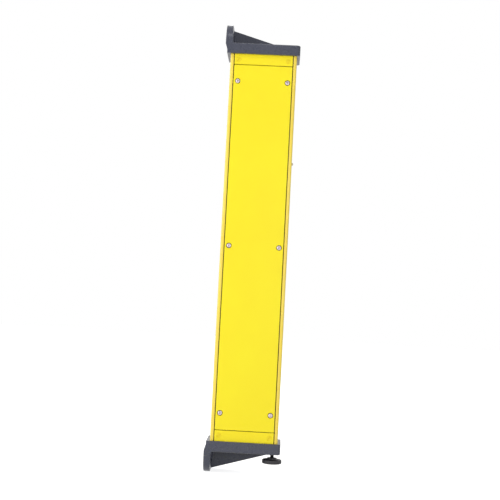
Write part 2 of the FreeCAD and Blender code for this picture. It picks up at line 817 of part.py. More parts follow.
def make_bracket_gasket(name, side):
    body = new_body(name)
    low, high = ordered(side, profile_end, recess_floor)
    outline = rectangle(profile_left, profile_right, profile_front, profile_back)
    extrude(body, "sheet", "Z", low, high, outline)
    corners = pick_edges(body, "z", x=[profile_left, profile_right], y=[profile_front, profile_back])
    round_edges(body, "corners", size.profile_corner_radius, corners)
    cut(
        body,
        "middle",
        "Z",
        low,
        high,
        rectangle(rib_left, rib_right, seat + size.end_block_depth, boss_face),
    )
    clearance = size.cap_screw_diameter / 2 + size.fit_gap
    cut(body, "screw_holes", "Z", low, high, circles(clearance, cap_screw_places))
    nodes.append(body)


def make_foot():
    """Stud through the bottom casting, thin lock nut and moulded pad."""
    zero = Length(0.0, "0")
    stud_radius = size.foot_stud_diameter / 2
    hub_top = -cap_far - size.foot_stud_exposed
    pad_top = hub_top - size.foot_hub_height
    pad_bottom = pad_top - size.foot_pad_height

    stud = new_body("foot_stud")
    stud_foot = hub_top - size.foot_stud_seat
    stud_head = -recess_floor - size.foot_stud_clearance
    extrude(stud, "shank", "Z", stud_foot, stud_head, circles(stud_radius, [(foot_x, zero)]))
    nodes.append(stud)

    nut = new_body("foot_lock_nut")
    nut_base = -cap_far - size.foot_nut_height
    extrude(nut, "hexagon", "Z", nut_base, -cap_far, hexagon(size.foot_nut_flats, foot_x, zero))
    cut(
        nut,
        "thread",
        "Z",
        -cap_far - size.foot_nut_height,
        -cap_far,
        circles(stud_radius + size.thread_gap, [(foot_x, zero)]),
    )
    nodes.append(nut)

    pad = new_body("foot_pad")
    pad_radius = size.foot_pad_diameter / 2
    extrude(pad, "disc", "Z", pad_bottom, pad_top, circles(pad_radius, [(foot_x, zero)]))
    round_edges(pad, "lower_edge", size.foot_pad_radius, pick_rims(pad, pad_bottom))
    extrude(pad, "hub", "Z", pad_top, hub_top, circles(size.foot_hub_diameter / 2, [(foot_x, zero)]))
    cut(pad, "stud_seat", "Z", stud_foot, hub_top, circles(stud_radius, [(foot_x, zero)]))
    nodes.append(pad)


# Window side.
def make_window():
    pane_half = size.window_opening_width / 2 + size.window_lip
    pane_end = opening_end + size.window_lip
    pane_rear = profile_right - size.window_thickness
    seal_rear = pane_rear - size.window_seal_thickness

    seal = new_body("window_seal")
    extrude(seal, "frame", "X", seal_rear, pane_rear, rectangle(-pane_half, pane_half, -pane_end, pane_end))
    corners = pick_edges(seal, "x", y=[-pane_half, pane_half], z=[-pane_end, pane_end])
    round_edges(seal, "corners", size.window_corner_radius, corners)
    opening_half = size.window_opening_width / 2
    cut(
        seal,
        "opening",
        "X",
        seal_rear,
        pane_rear,
        rectangle(-opening_half, opening_half, -opening_end, opening_end),
    )
    nodes.append(seal)

    pane = new_body("light_window")
    outline = rectangle(-pane_half, pane_half, -pane_end, pane_end)
    extrude(pane, "pane", "X", pane_rear, profile_right, outline)
    corners = pick_edges(pane, "x", y=[-pane_half, pane_half], z=[-pane_end, pane_end])
    round_edges(pane, "corners", size.window_corner_radius, corners)
    nodes.append(pane)


def make_indicator():
    """Light pipe with a domed lens outside, and the lamp that feeds it from inside."""
    stem_radius = size.indicator_stem_diameter / 2
    zero = Length(0.0, "0")
    lamp_y = profile_front + size.indicator_inset
    stem_length = profile_right - rib_right - size.indicator_led_length - size.fit_gap

    pipe = new_body("status_indicator")
    dome_radius = size.indicator_dome_diameter / 2
    revolve(
        pipe,
        "turned_form",
        polygon(
            (zero, -stem_length),
            (stem_radius, -stem_length),
            (stem_radius, zero),
            (dome_radius, zero),
            (dome_radius, size.indicator_dome_height / 3),
            (dome_radius * 0.84, size.indicator_dome_height * 0.72),
            (dome_radius * 0.5, size.indicator_dome_height * 0.95),
            (zero, size.indicator_dome_height),
        ),
    )
    place(pipe, profile_right, lamp_y, size.indicator_height, facing_window)
    nodes.append(pipe)

    lamp = new_body("indicator_lamp")
    flange_radius = size.indicator_led_flange / 2
    revolve(
        lamp,
        "turned_form",
        polygon(
            (zero, zero - 1),
            (flange_radius, zero - 1),
            (flange_radius, zero),
            (stem_radius, zero),
            (stem_radius, size.indicator_led_length - 1),
            (stem_radius * 0.7, size.indicator_led_length - 0.3),
            (zero, size.indicator_led_length),
        ),
    )
    place(lamp, rib_right, lamp_y, size.indicator_height, facing_window)
    nodes.append(lamp)


# Optics: a carrier with one stop for each beam, the lens strip and the sensor board in its grooves.
def make_optics():
    carrier = new_body("optics_carrier")
    foot_rear = carrier_rear - size.carrier_foot_width
    leg_front = carrier_rear + size.carrier_wall
    foot_front = inner_back - size.carrier_wall
    extrude(
        carrier,
        "section",
        "Z",
        -carrier_end,
        carrier_end,
        polygon(
            (carrier_rear, -carrier_side),
            (carrier_front, -carrier_side),
            (carrier_front, carrier_side),
            (leg_front, carrier_side),
            (leg_front, inner_back),
            (foot_rear, inner_back),
            (foot_rear, foot_front),
            (carrier_rear, foot_front),
        ),
    )
    web_front = web_rear + size.carrier_wall
    cut(
        carrier,
        "channels",
        "Z",
        -carrier_end,
        carrier_end,
        rectangle(carrier_rear, web_rear, -carrier_half, carrier_half),
        rectangle(web_front, carrier_front, -carrier_half, carrier_half),
    )
    groove_half = carrier_half + size.groove_depth
    play = size.thread_gap
    cut(
        carrier,
        "grooves",
        "Z",
        -carrier_end,
        carrier_end,
        rectangle(sensor_rear - play, sensor_front + play, -groove_half, groove_half),
        rectangle(lens_rear - play, lens_front + play, -groove_half, groove_half),
    )
    stop = cut(
        carrier,
        "beam_stop",
        "X",
        web_rear,
        web_front,
        circles(size.stop_diameter / 2, [(Length(0.0, "0"), beam_heights[0])]),
    )
    repeat(carrier, "beam_stops", stop, beam_pitch, beam_count)
    hole_radius = size.small_screw_diameter / 2 + size.thread_gap
    cut(carrier, "screw_holes", "Y", foot_front, inner_back, circles(hole_radius, carrier_screw_places))
    nodes.append(carrier)

    strip_half = groove_half - play
    strip = new_body("lens_strip")
    outline = rectangle(-strip_half, strip_half, -carrier_end, carrier_end)
    extrude(strip, "plate", "X", lens_rear, lens_front, outline)
    master = new_body("lens_form")
    rim_radius = size.lens_aperture.number / 2
    rise = size.lens_radius.number - math.sqrt(size.lens_radius.number**2 - rim_radius**2)
    cap = master.newObject("PartDesign::AdditiveSphere", "lens_form_ball")
    cap.setExpression("Radius", text_of(size.lens_radius))
    cap.Angle1 = math.degrees(math.asin(1 - rise / size.lens_radius.number))
    doc.recompute()
    domes = group(
        "lens_domes",
        master,
        [(lens_rear + size.lens_radius - rise, Length(0.0, "0"), height) for height in beam_heights],
        Rotation(Vector(0, 1, 0), -90),
    )
    lenses = doc.addObject("Part::MultiFuse", "lens_strip_moulding")
    lenses.Shapes = [strip, domes]
    strip.Label = "lens_strip_plate"
    lenses.Label = "lens_strip"
    doc.recompute()
    nodes.append(lenses)

    board = new_body("sensor_board")
    outline = rectangle(-strip_half, strip_half, -carrier_end, carrier_end)
    extrude(board, "board", "X", sensor_rear, sensor_front, outline)
    nodes.append(board)

    element = new_body("photo_element")
    half = size.element_width / 2
    zero = Length(0.0, "0")
    lens_top = size.element_height + size.element_lens_height
    extrude(element, "case", "Z", zero, size.element_height, rectangle(-half, half, -half, half))
    lens = circles(size.element_lens_diameter / 2, [(zero, zero)])
    extrude(element, "lens", "Z", size.element_height, lens_top, lens)
    places = [(sensor_front, zero, height) for height in beam_heights]
    nodes.append(group("photo_elements", element, places, facing_window))


# Electronics.
def make_control_board():
    board = new_body("control_board")
    outline = rectangle(board_left, board_right, board_low, board_high)
    extrude(board, "board", "Y", board_front, board_back, outline)
    hole_radius = size.small_screw_diameter / 2 + size.thread_gap
    cut(board, "screw_holes", "Y", board_front, board_back, circles(hole_radius, spacer_places))
    nodes.append(board)

    spacer = new_body("spacer_form")
    zero = Length(0.0, "0")
    core = size.small_screw_diameter / 2
    extrude(spacer, "hexagon", "Z", zero, size.spacer_length, hexagon(size.spacer_flats))
    extrude(spacer, "stud", "Z", -size.spacer_stud_length, zero, circles(core, [(zero, zero)]))
    cut(spacer, "thread", "Z", size.spacer_length / 2, size.spacer_length, circles(core, [(zero, zero)]))
    places = [(x, inner_back, z) for x, z in spacer_places]
    nodes.append(group("board_spacers", spacer, places, facing_front))

    terminal = new_body("terminal_block")
    left = board_left + 2
    right = left + size.terminal_width
    low = board_low + 2 * size.spacer_inset
    high = low + terminal_poles * size.terminal_pitch
    top = board_front - size.terminal_height
    step_back = size.terminal_width / 4
    extrude(
        terminal,
        "body",
        "Z",
        low,
        high,
        polygon(
            (left, board_front),
            (left, top + 2 * step_back),
            (left + step_back, top),
            (right, top),
            (right, board_front),
        ),
    )
    well_place = (left + 0.62 * size.terminal_width, low + size.terminal_pitch / 2)
    well = cut(
        terminal,
        "screw_well",
        "Y",
        top,
        top + size.terminal_height / 2,
        circles(size.terminal_pitch * 0.38, [well_place]),
    )
    repeat(terminal, "screw_wells", well, size.terminal_pitch, terminal_poles)
    entry_half = size.terminal_pitch * 0.34
    entry = cut(
        terminal,
        "wire_entry",
        "X",
        left,
        left + size.terminal_width * 0.45,
        rectangle(
            board_front - 1 - 2 * entry_half,
            board_front - 1,
            low + size.terminal_pitch / 2 - entry_half,
            low + size.terminal_pitch / 2 + entry_half,
        ),
    )
    repeat(terminal, "wire_entries", entry, size.terminal_pitch, terminal_poles)
    nodes.append(terminal)


def make_board_parts():
    zero = Length(0.0, "0")
    middle = (board_left + board_right) / 2

    relay = new_body("relay_form")
    half_width = size.relay_width / 2
    half_length = size.relay_length / 2
    extrude(
        relay,
        "case",
        "Z",
        zero,
        size.relay_height,
        rectangle(-half_width, half_width, -half_length, half_length),
    )
    round_edges(relay, "corners", size.relay_edge, pick_edges(relay, "z", x=[-half_width, half_width]))
    relay_x = board_left + 2 + half_width
    terminal_end = board_low + 2 * size.spacer_inset + terminal_poles * size.terminal_pitch
    first_relay = terminal_end + size.relay_start_gap + half_length
    relay_pitch = size.relay_length + size.relay_gap
    places = [(relay_x, board_front, first_relay + step * relay_pitch) for step in range(2)]
    nodes.append(group("safety_relays", relay, places, facing_front))

    capacitor = new_body("smoothing_capacitor")
    radius = size.capacitor_diameter / 2
    tall = size.capacitor_height
    revolve(
        capacitor,
        "can",
        polygon(
            (zero, zero),
            (radius, zero),
            (radius, tall * 0.12),
            (radius - 0.5, tall * 0.16),
            (radius, tall * 0.2),
            (radius, tall - 1),
            (radius - 1, tall),
            (zero, tall),
        ),
    )
    place(capacitor, board_right - radius - 1, board_front, first_relay, facing_front)
    nodes.append(capacitor)

    chip = new_body("chip_form")
    half_chip = size.chip_size / 2
    outline = rectangle(-half_chip, half_chip, -half_chip, half_chip)
    extrude(chip, "case", "Z", zero, size.chip_height, outline)
    first_chip = first_relay + relay_pitch + half_length + size.chip_gap + half_chip
    chip_pitch = size.chip_size + size.chip_gap
    places = [(middle, board_front, first_chip + step * chip_pitch) for step in range(2)]
    nodes.append(group("controller_chips", chip, places, facing_front))

    link = new_body("board_link")
    link_low = board_low + 2 * size.spacer_inset + 6
    extrude(
        link,
        "housing",
        "Z",
        link_low,
        link_low + size.link_width,
        rectangle(board_right - size.link_overlap, sensor_rear, board_front - size.link_height, board_front),
    )
    nodes.append(link)


# Connection: male round connector in the back wall, near the lower end.
def make_connector():
    axis = (connector_x, connector_z)
    thread_radius = size.connector_thread_diameter / 2
    rear_radius = size.connector_bore / 2 - 2 * size.thread_gap
    flange_base = profile_back + size.connector_seal_thickness
    flange_top = flange_base + size.connector_flange_height
    thread_end = flange_top + size.connector_thread_length
    rear_end = flange_base - size.connector_rear_length
    insert_top = thread_end - size.connector_socket_depth
    bore = size.connector_socket_diameter / 2

    seal = new_body("connector_seal")
    extrude(seal, "ring", "Y", profile_back, flange_base, circles(size.connector_flange_flats / 2, [axis]))
    cut(seal, "bore", "Y", profile_back, flange_base, circles(size.connector_bore / 2, [axis]))
    nodes.append(seal)

    shell = new_body("connector_shell")
    outline = hexagon(size.connector_flange_flats, *axis, turn=30)
    extrude(shell, "flange", "Y", flange_base, flange_top, outline)
    extrude(shell, "thread", "Y", flange_top, thread_end, circles(thread_radius, [axis]))
    extrude(shell, "rear", "Y", rear_end, flange_base, circles(rear_radius, [axis]))
    cut(shell, "bore", "Y", rear_end, thread_end, circles(bore, [axis]))
    nodes.append(shell)

    nut = new_body("connector_nut")
    nut_face = inner_back - size.connector_nut_height
    extrude(nut, "hexagon", "Y", nut_face, inner_back, hexagon(size.connector_nut_flats, *axis))
    cut(nut, "thread", "Y", nut_face, inner_back, circles(rear_radius + size.thread_gap, [axis]))
    nodes.append(nut)

    pin_radius = size.pin_diameter / 2
    pin_places = [axis]
    for step in range(outer_pins):
        angle = 2 * math.pi * (step + 0.5) / outer_pins
        reach = size.pin_circle / 2
        pin_places.append((axis[0] + reach * math.cos(angle), axis[1] + reach * math.sin(angle)))

    insert = new_body("connector_insert")
    extrude(insert, "disc", "Y", rear_end, insert_top, circles(bore - size.thread_gap, [axis]))
    cut(insert, "pin_holes", "Y", rear_end, insert_top, circles(pin_radius, pin_places))
    nodes.append(insert)

    pin = new_body("pin_form")
    zero = Length(0.0, "0")
    pin_total = insert_top - rear_end + size.pin_length
    extrude(pin, "wire", "Z", zero, pin_total, circles(pin_radius, [(zero, zero)]))
    nodes.append(group("connector_pins", pin, [(x, rear_end, z) for x, z in pin_places], facing_back))


# Fasteners. Each master stands on its own Z axis, with the underside of its head at zero.
def pan_screw(name, diameter, length, head, head_height):
    """Pan head screw: low crown, straight shank."""
    body = new_body(name)
    zero = Length(0.0, "0")
    crown = head * 0.32
    revolve(
        body,
        "turned_form",
        polygon(
            (zero, head_height),
            (crown, head_height),
            (head / 2, head_height * 0.5),
            (head / 2, zero),
            (diameter / 2, zero),
            (diameter / 2, -length),
            (zero, -length),
        ),
    )
    return body


def add_cross_recess(screw, head, head_height):
    arm = head * 0.27
    half = head * 0.065
    cross = polygon(
        (arm, half),
        (half, half),
        (half, arm),
        (-half, arm),
        (-half, half),
        (-arm, half),
        (-arm, -half),
        (-half, -half),
        (-half, -arm),
        (half, -arm),
        (half, -half),
        (arm, -half),
    )
    cut(screw, "recess", "Z", head_height * 0.4, head_height, cross)


def slotted_screw():
    """Countersunk screw with a slot; its head is flush at zero."""
    body = new_body("slotted_screw_form")
    zero = Length(0.0, "0")
    shank = size.cover_screw_diameter / 2
    head = size.end_screw_head / 2
    revolve(
        body,
        "turned_form",
        polygon(
            (zero, zero),
            (head, zero),
            (shank, -size.end_screw_cone),
            (shank, -size.end_screw_length),
            (zero, -size.end_screw_length),
        ),
    )
    cut(
        body,
        "slot",
        "Z",
        zero - size.end_screw_slot_depth,
        zero,
        rectangle(-head, head, -size.end_screw_slot / 2, size.end_screw_slot / 2),
    )
    return body


def socket_screw():
    """Socket head cap screw."""
    body = new_body("socket_screw_form")
    zero = Length(0.0, "0")
    head_height = size.cap_screw_head_height
    extrude(body, "head", "Z", zero, head_height, circles(size.cap_screw_head / 2, [(zero, zero)]))
    extrude(
        body, "shank", "Z", -size.cap_screw_length, zero, circles(size.cap_screw_diameter / 2, [(zero, zero)])
    )
    cut(body, "socket", "Z", head_height / 2, head_height, hexagon(size.cap_screw_socket))
    return body


def make_fasteners():
    cover_screw = pan_screw(
        "cover_screw_form",
        size.cover_screw_diameter,
        size.cover_screw_length,
        size.cover_screw_head,
        size.cover_screw_head_height,
    )
    add_cross_recess(cover_screw, size.cover_screw_head, size.cover_screw_head_height)
    head_seat = profile_front + size.cover_counterbore_depth
    seats = [(x, head_seat, z) for x, z in cover_screw_places]
    nodes.append(group("cover_screws", cover_screw, seats, facing_front))

    end_screw = slotted_screw()
    places = [(x, profile_front, z) for x, z in end_screw_places]
    nodes.append(group("end_strip_screws", end_screw, places, facing_front))

    cap_screw = socket_screw()
    head_seat = cap_far - size.cap_counterbore_depth
    top_places = [(x, y, head_seat) for x, y in cap_screw_places]
    bottom_places = [(x, y, -head_seat) for x, y in cap_screw_places]
    nodes.append(group("top_bracket_screws", cap_screw, top_places, facing_up))
    nodes.append(group("bottom_bracket_screws", cap_screw, bottom_places, facing_down))

    foot_screw = pan_screw(
        "carrier_screw_form",
        size.small_screw_diameter,
        size.carrier_wall + size.spacer_stud_length,
        size.small_screw_head,
        size.small_screw_head_height,
    )
    foot_front = inner_back - size.carrier_wall
    places = [(x, foot_front, z) for x, z in carrier_screw_places]
    nodes.append(group("carrier_screws", foot_screw, places, facing_front))

    board_screw = pan_screw(
        "board_screw_form",
        size.small_screw_diameter,
        size.board_thickness + size.spacer_length / 3,
        size.small_screw_head,
        size.small_screw_head_height,
    )
    places = [(x, board_front, z) for x, z in spacer_places]
    nodes.append(group("board_screws", board_screw, places, facing_front))

    earth_x = inner_left + size.corner_boss / 2
    washer = new_body("earth_washer")
    washer_face = boss_face - size.earth_washer_thickness
    axis = (earth_x, earth_screw_z)
    extrude(washer, "ring", "Y", washer_face, boss_face, circles(size.cover_screw_head / 2, [axis]))
    bore = size.cover_screw_diameter / 2 + size.fit_gap
    cut(washer, "bore", "Y", washer_face, boss_face, circles(bore, [axis]))
    nodes.append(washer)
    earth_screw = pan_screw(
        "earth_screw",
        size.cover_screw_diameter,
        size.earth_washer_thickness + size.earth_screw_grip,
        size.cover_screw_head,
        size.cover_screw_head_height,
    )
    place(earth_screw, earth_x, washer_face, earth_screw_z, facing_front)
    nodes.append(earth_screw)


make_housing()
make_cover()
make_end_strip("top_end_strip", 1)
make_end_strip("bottom_end_strip", -1)
make_bottom_bracket(make_top_bracket())
make_bracket_gasket("top_bracket_gasket", 1)
make_bracket_gasket("bottom_bracket_gasket", -1)
make_foot()
make_window()
make_indicator()
make_optics()
make_control_board()
make_board_parts()
make_connector()
make_fasteners()

doc.recompute()
failed = [item.Name for item in doc.Objects if {"Invalid", "Error"} & set(item.State)]
if failed:
    raise RuntimeError(f"failed objects: {failed}")
for node in nodes:
    shape = node.Shape
    if shape.isNull() or not shape.isValid() or not shape.Solids:
        raise RuntimeError(f"{node.Label} has no valid solid")
for node in nodes:
    node.Shape.exportStep(f"parts/{node.Label}.step")
    print(node.Label, len(node.Shape.Solids), round(node.Shape.Volume, 1))
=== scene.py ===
import json
import math

import bmesh
import bpy
from mathutils import Euler, Matrix, Vector


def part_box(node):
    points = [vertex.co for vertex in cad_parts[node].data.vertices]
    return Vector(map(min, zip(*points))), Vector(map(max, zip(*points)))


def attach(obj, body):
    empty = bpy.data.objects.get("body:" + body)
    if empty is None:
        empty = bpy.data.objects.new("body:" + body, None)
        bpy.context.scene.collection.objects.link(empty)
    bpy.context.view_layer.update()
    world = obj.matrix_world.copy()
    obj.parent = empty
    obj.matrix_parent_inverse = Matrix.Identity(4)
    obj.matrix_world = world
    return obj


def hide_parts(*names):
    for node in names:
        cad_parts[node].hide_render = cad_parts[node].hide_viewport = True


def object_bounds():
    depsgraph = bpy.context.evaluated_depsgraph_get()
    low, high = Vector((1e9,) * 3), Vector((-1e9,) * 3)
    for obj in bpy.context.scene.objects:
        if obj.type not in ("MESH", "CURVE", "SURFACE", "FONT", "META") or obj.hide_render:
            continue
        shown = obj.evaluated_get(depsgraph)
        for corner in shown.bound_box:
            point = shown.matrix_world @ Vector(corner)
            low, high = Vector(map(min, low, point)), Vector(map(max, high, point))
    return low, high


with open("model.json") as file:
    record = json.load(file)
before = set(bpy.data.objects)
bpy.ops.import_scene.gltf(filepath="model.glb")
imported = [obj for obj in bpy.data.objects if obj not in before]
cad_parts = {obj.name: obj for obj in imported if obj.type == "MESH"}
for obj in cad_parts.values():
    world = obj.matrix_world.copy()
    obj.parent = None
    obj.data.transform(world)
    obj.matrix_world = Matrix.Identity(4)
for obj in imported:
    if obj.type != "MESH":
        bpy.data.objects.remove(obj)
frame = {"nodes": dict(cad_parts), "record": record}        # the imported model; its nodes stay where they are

nodes = frame["nodes"]
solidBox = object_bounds()
scene = bpy.context.scene
mm = 0.001        # one millimetre in metres, the unit of the frame
print("frame loaded,", len(nodes), "nodes")


def linearColour(hexText):
    # from a hexadecimal sRGB colour to the linear values that the shaders take
    channels = [int(hexText[at:at + 2], 16) / 255 for at in (1, 3, 5)]
    linear = [c / 12.92 if c <= 0.04045 else ((c + 0.055) / 1.055) ** 2.4 for c in channels]
    return (*linear, 1.0)


def perMm(size):
    # texture scale for a pattern that repeats every so many millimetres
    return 1 / (size * mm)


def addNode(tree, kind, inputs=(), **settings):
    node = tree.nodes.new(kind)
    for setting, value in settings.items():
        setattr(node, setting, value)
    for socketName, value in dict(inputs).items():
        socket = node.inputs[socketName]
        if isinstance(value, bpy.types.NodeSocket):
            tree.links.new(value, socket)
        else:
            socket.default_value = value
    return node


def startMaterial(name):
    material = bpy.data.materials.new(name)
    material.use_nodes = True
    material.node_tree.nodes.clear()
    return material, material.node_tree


def placeOf(tree, turn=(0, 0, 0)):
    coordinates = addNode(tree, "ShaderNodeTexCoord")
    mapping = addNode(tree, "ShaderNodeMapping", {"Vector": coordinates.outputs["Object"], "Rotation": turn})
    return mapping.outputs["Vector"]


def noise(tree, vector, sizeMm, detail=3.0, rough=0.5):
    node = addNode(tree, "ShaderNodeTexNoise", {
        "Vector": vector, "Scale": perMm(sizeMm), "Detail": detail, "Roughness": rough})
    return node.outputs["Fac"]


def between(tree, value, low, high, fromLow=0.3, fromHigh=0.7):
    node = addNode(tree, "ShaderNodeMapRange", {
        "Value": value, "From Min": fromLow, "From Max": fromHigh, "To Min": low, "To Max": high})
    return node.outputs["Result"]


def blendColours(tree, factor, first, second):
    # sockets 6 and 7 are the two colours of the mix node, and its output 2 is the blend
    node = addNode(tree, "ShaderNodeMix", {0: factor, 6: first, 7: second}, data_type="RGBA")
    return node.outputs[2]


def clouded(tree, place, sizeMm, colour, shade):
    # one colour drifting into another in soft patches
    cloud = between(tree, noise(tree, place, sizeMm), 0.0, 1.0)
    return blendColours(tree, cloud, linearColour(colour), linearColour(shade))


def finishMaterial(material, tree, surface, relief, strength, depthMm):
    # the surface's own values, with the relief as a bump of the given depth
    bump = addNode(tree, "ShaderNodeBump", {"Height": relief, "Strength": strength, "Distance": depthMm * mm})
    shader = addNode(tree, "ShaderNodeBsdfPrincipled", {**surface, "Normal": bump.outputs["Normal"]})
    addNode(tree, "ShaderNodeOutputMaterial", {"Surface": shader.outputs["BSDF"]})
    return material


def powderCoat(name, colour, shade, roughness):
    # polyester powder coat, sprayed and baked: even colour, satin gloss, fine orange peel
    material, tree = startMaterial(name)
    place = placeOf(tree)
    tint = clouded(tree, place, 85, colour, shade)
    peel = noise(tree, place, sizeMm=1.7, detail=2.0)
    gloss = between(tree, noise(tree, place, sizeMm=14), roughness - 0.05, roughness + 0.06)
    surface = {"Base Color": tint, "Roughness": gloss, "IOR": 1.5}
    return finishMaterial(material, tree, surface, peel, 0.35, 0.04)


def castEnamel(name, colour, deep, speck):
    # zinc die casting under a grey semi-gloss enamel: pebbled skin with pale flecks
    material, tree = startMaterial(name)
    place = placeOf(tree)
    ground = clouded(tree, place, 30, colour, deep)
    flecks = between(tree, noise(tree, place, sizeMm=1.4, detail=1.0), 0.0, 0.5, fromLow=0.60, fromHigh=0.72)
    tint = blendColours(tree, flecks, ground, linearColour(speck))
    pebble = noise(tree, place, sizeMm=2.2, detail=4.0, rough=0.6)
    gloss = between(tree, noise(tree, place, sizeMm=6), 0.24, 0.36)
    surface = {"Base Color": tint, "Roughness": gloss, "IOR": 1.5, "Specular IOR Level": 0.35}
    return finishMaterial(material, tree, surface, pebble, 0.6, 0.12)


def platedSteel(name, colour, shade, roughness):
    # turned or rolled metal under bright zinc or nickel, or bare: fine tool marks, slightly cloudy
    material, tree = startMaterial(name)
    place = placeOf(tree)
    tint = clouded(tree, place, 3.5, colour, shade)
    marks = noise(tree, place, sizeMm=0.35, detail=3.0, rough=0.7)
    gloss = between(tree, noise(tree, place, sizeMm=1.1), roughness - 0.07, roughness + 0.1)
    surface = {"Base Color": tint, "Metallic": 1.0, "Roughness": gloss}
    return finishMaterial(material, tree, surface, marks, 0.3, 0.02)


def blackOxide(name, colour, worn):
    # blackened steel with a film of oil: near black, paler where handled
    material, tree = startMaterial(name)
    place = placeOf(tree)
    handled = between(tree, noise(tree, place, sizeMm=1.6), 0.0, 0.55, fromLow=0.5, fromHigh=0.72)
    tint = blendColours(tree, handled, linearColour(colour), linearColour(worn))
    gloss = between(tree, noise(tree, place, sizeMm=2.4), 0.32, 0.5)
    marks = noise(tree, place, sizeMm=0.4, detail=3.0)
    surface = {"Base Color": tint, "Metallic": 0.35, "Roughness": gloss}
    return finishMaterial(material, tree, surface, marks, 0.3, 0.02)


def mouldedPlastic(name, colour, shade, grainMm, depthMm, roughness, ior=1.5):
    # injection moulded, spark-eroded tool: fine even grain, soft sheen
    material, tree = startMaterial(name)
    place = placeOf(tree)
    tint = clouded(tree, place, 11, colour, shade)
    gloss = between(tree, noise(tree, place, sizeMm=4), roughness - 0.06, roughness + 0.08)
    grain = noise(tree, place, grainMm, detail=2.0)
    surface = {"Base Color": tint, "Roughness": gloss, "IOR": ior}
    return finishMaterial(material, tree, surface, grain, 0.4, depthMm)


def nitrileRubber(name, colour, bloom):
    # pressed nitrile sheet: matt, with a paler bloom and a talc-fine grain
    material, tree = startMaterial(name)
    place = placeOf(tree)
    bloomed = between(tree, noise(tree, place, sizeMm=7, detail=5.0), 0.0, 1.0, fromLow=0.42, fromHigh=0.7)
    tint = blendColours(tree, bloomed, linearColour(colour), linearColour(bloom))
    gloss = between(tree, noise(tree, place, sizeMm=2.5), 0.62, 0.82)
    grain = noise(tree, place, sizeMm=0.6, detail=3.0)
    surface = {"Base Color": tint, "Roughness": gloss, "IOR": 1.5, "Specular IOR Level": 0.2}
    return finishMaterial(material, tree, surface, grain, 0.5, 0.04)


def tintedPane(name, colour, shade, roughness, transmission, waveMm=24, ior=1.49):
    # polished acrylic, coloured in the mass: deep gloss, very slight waviness
    material, tree = startMaterial(name)
    place = placeOf(tree)
    tint = clouded(tree, place, 40, colour, shade)
    gloss = between(tree, noise(tree, place, sizeMm=9, detail=4.0), roughness, roughness + 0.05)
    waves = noise(tree, place, waveMm, detail=1.0)
    surface = {"Base Color": tint, "Roughness": gloss, "IOR": ior, "Transmission Weight": transmission}
    return finishMaterial(material, tree, surface, waves, 0.25, 0.2)


def tracks(tree, vector):
    # long staggered bricks, whose joints stand for copper tracks
    bricks = addNode(tree, "ShaderNodeTexBrick", {
        "Vector": vector, "Color1": (1, 1, 1, 1), "Color2": (0.6, 0.6, 0.6, 1), "Mortar": (0, 0, 0, 1),
        "Scale": perMm(9), "Mortar Size": 0.06, "Brick Width": 1.9, "Row Height": 0.34}, offset=0.37)
    return bricks.outputs["Fac"]


def solderMask(name, colour, track):
    # glass-epoxy board: green mask, paler where copper tracks run beneath it
    material, tree = startMaterial(name)
    place = placeOf(tree)
    onEdge = placeOf(tree, turn=(math.pi / 2, 0, math.pi / 2))
    lines = addNode(tree, "ShaderNodeMath", {0: tracks(tree, place), 1: tracks(tree, onEdge)},
                    operation="MAXIMUM").outputs[0]
    tint = blendColours(tree, lines, linearColour(colour), linearColour(track))
    gloss = between(tree, noise(tree, place, sizeMm=5), 0.24, 0.36)
    surface = {"Base Color": tint, "Roughness": gloss, "IOR": 1.52}
    return finishMaterial(material, tree, surface, lines, 0.5, 0.04)


finishes = {
    # the housing's yellow is paler and bluer than the cover's: painted sheen for the white reflection on the
    # rails' rounded edges
    "yellow_housing": powderCoat("paled yellow powder coat on extrusion, painted sheen", "#fbe058", "#f8da4c", 0.32),
    "yellow_cover": powderCoat("traffic yellow powder coat on sheet", "#fdec0c", "#fbe60a", 0.38),
    "yellow_strip": powderCoat("traffic yellow powder coat on end strip", "#ffeb0a", "#fde608", 0.38),
    # the screws' yellow is darker than the strips': painted shade that makes the heads show as faint rings
    "painted_screws": powderCoat("darkened yellow coat over screw, painted shade", "#f8e20a", "#eed60c", 0.4),
    "grey_casting": castEnamel("grey enamel on zinc casting", "#494b58", "#434653", "#6a6d7d"),
    # the same near-black nitrile also colours the seam cords and the screw rings, where it is painted shade
    "seal_rubber": nitrileRubber("brown-black nitrile, also painted seam shade", "#150d04", "#1e1408"),
    "black_steel": blackOxide("black oxide steel", "#1d1d20", "#45434a"),
    "foot_plastic": mouldedPlastic("black glass-filled nylon", "#26242a", "#1e1d22", 1.1, 0.05, 0.5),
    "dark_window": tintedPane("dark red infrared acrylic", "#3c0a12", "#33080f", 0.05, 0.0),
    "lamp_lens": tintedPane("frosted lamp polycarbonate", "#cfc4a6", "#c5b795", 0.3, 0.25, 3, 1.58),
    "carrier_plastic": mouldedPlastic("black ABS carrier", "#19191c", "#121214", 0.8, 0.03, 0.55),
    "lens_acrylic": tintedPane("clear optical acrylic", "#d9dee2", "#cfd6da", 0.04, 0.85),
    "circuit_board": solderMask("green solder mask on glass epoxy", "#0d5a2b", "#2b8148"),
    "photo_resin": mouldedPlastic("filter epoxy of the photo elements", "#241c31", "#1b1526", 0.7, 0.01, 0.18,
                                  1.55),
    "brass_parts": platedSteel("nickel-free bright brass", "#d8b566", "#c29d50", 0.28),
    "terminal_plastic": mouldedPlastic("green polyamide", "#1f7a3e", "#1a6b37", 0.8, 0.02, 0.42),
    "relay_plastic": mouldedPlastic("black PBT case", "#202024", "#18181b", 0.7, 0.02, 0.45),
    "capacitor_can": mouldedPlastic("shrunk PVC sleeve over an aluminium can", "#202a47", "#1a233c", 2.0,
                                    0.01, 0.3),
    "chip_plastic": mouldedPlastic("black moulding epoxy", "#1c1c1e", "#141416", 0.5, 0.02, 0.6),
    "connector_metal": platedSteel("nickel plated brass", "#c9c4bb", "#b5b0a8", 0.27),
    "bright_steel": platedSteel("bright zinc plated steel", "#cdc0c6", "#b2a6ae", 0.38),
}
print("finishes ready,", len(finishes))

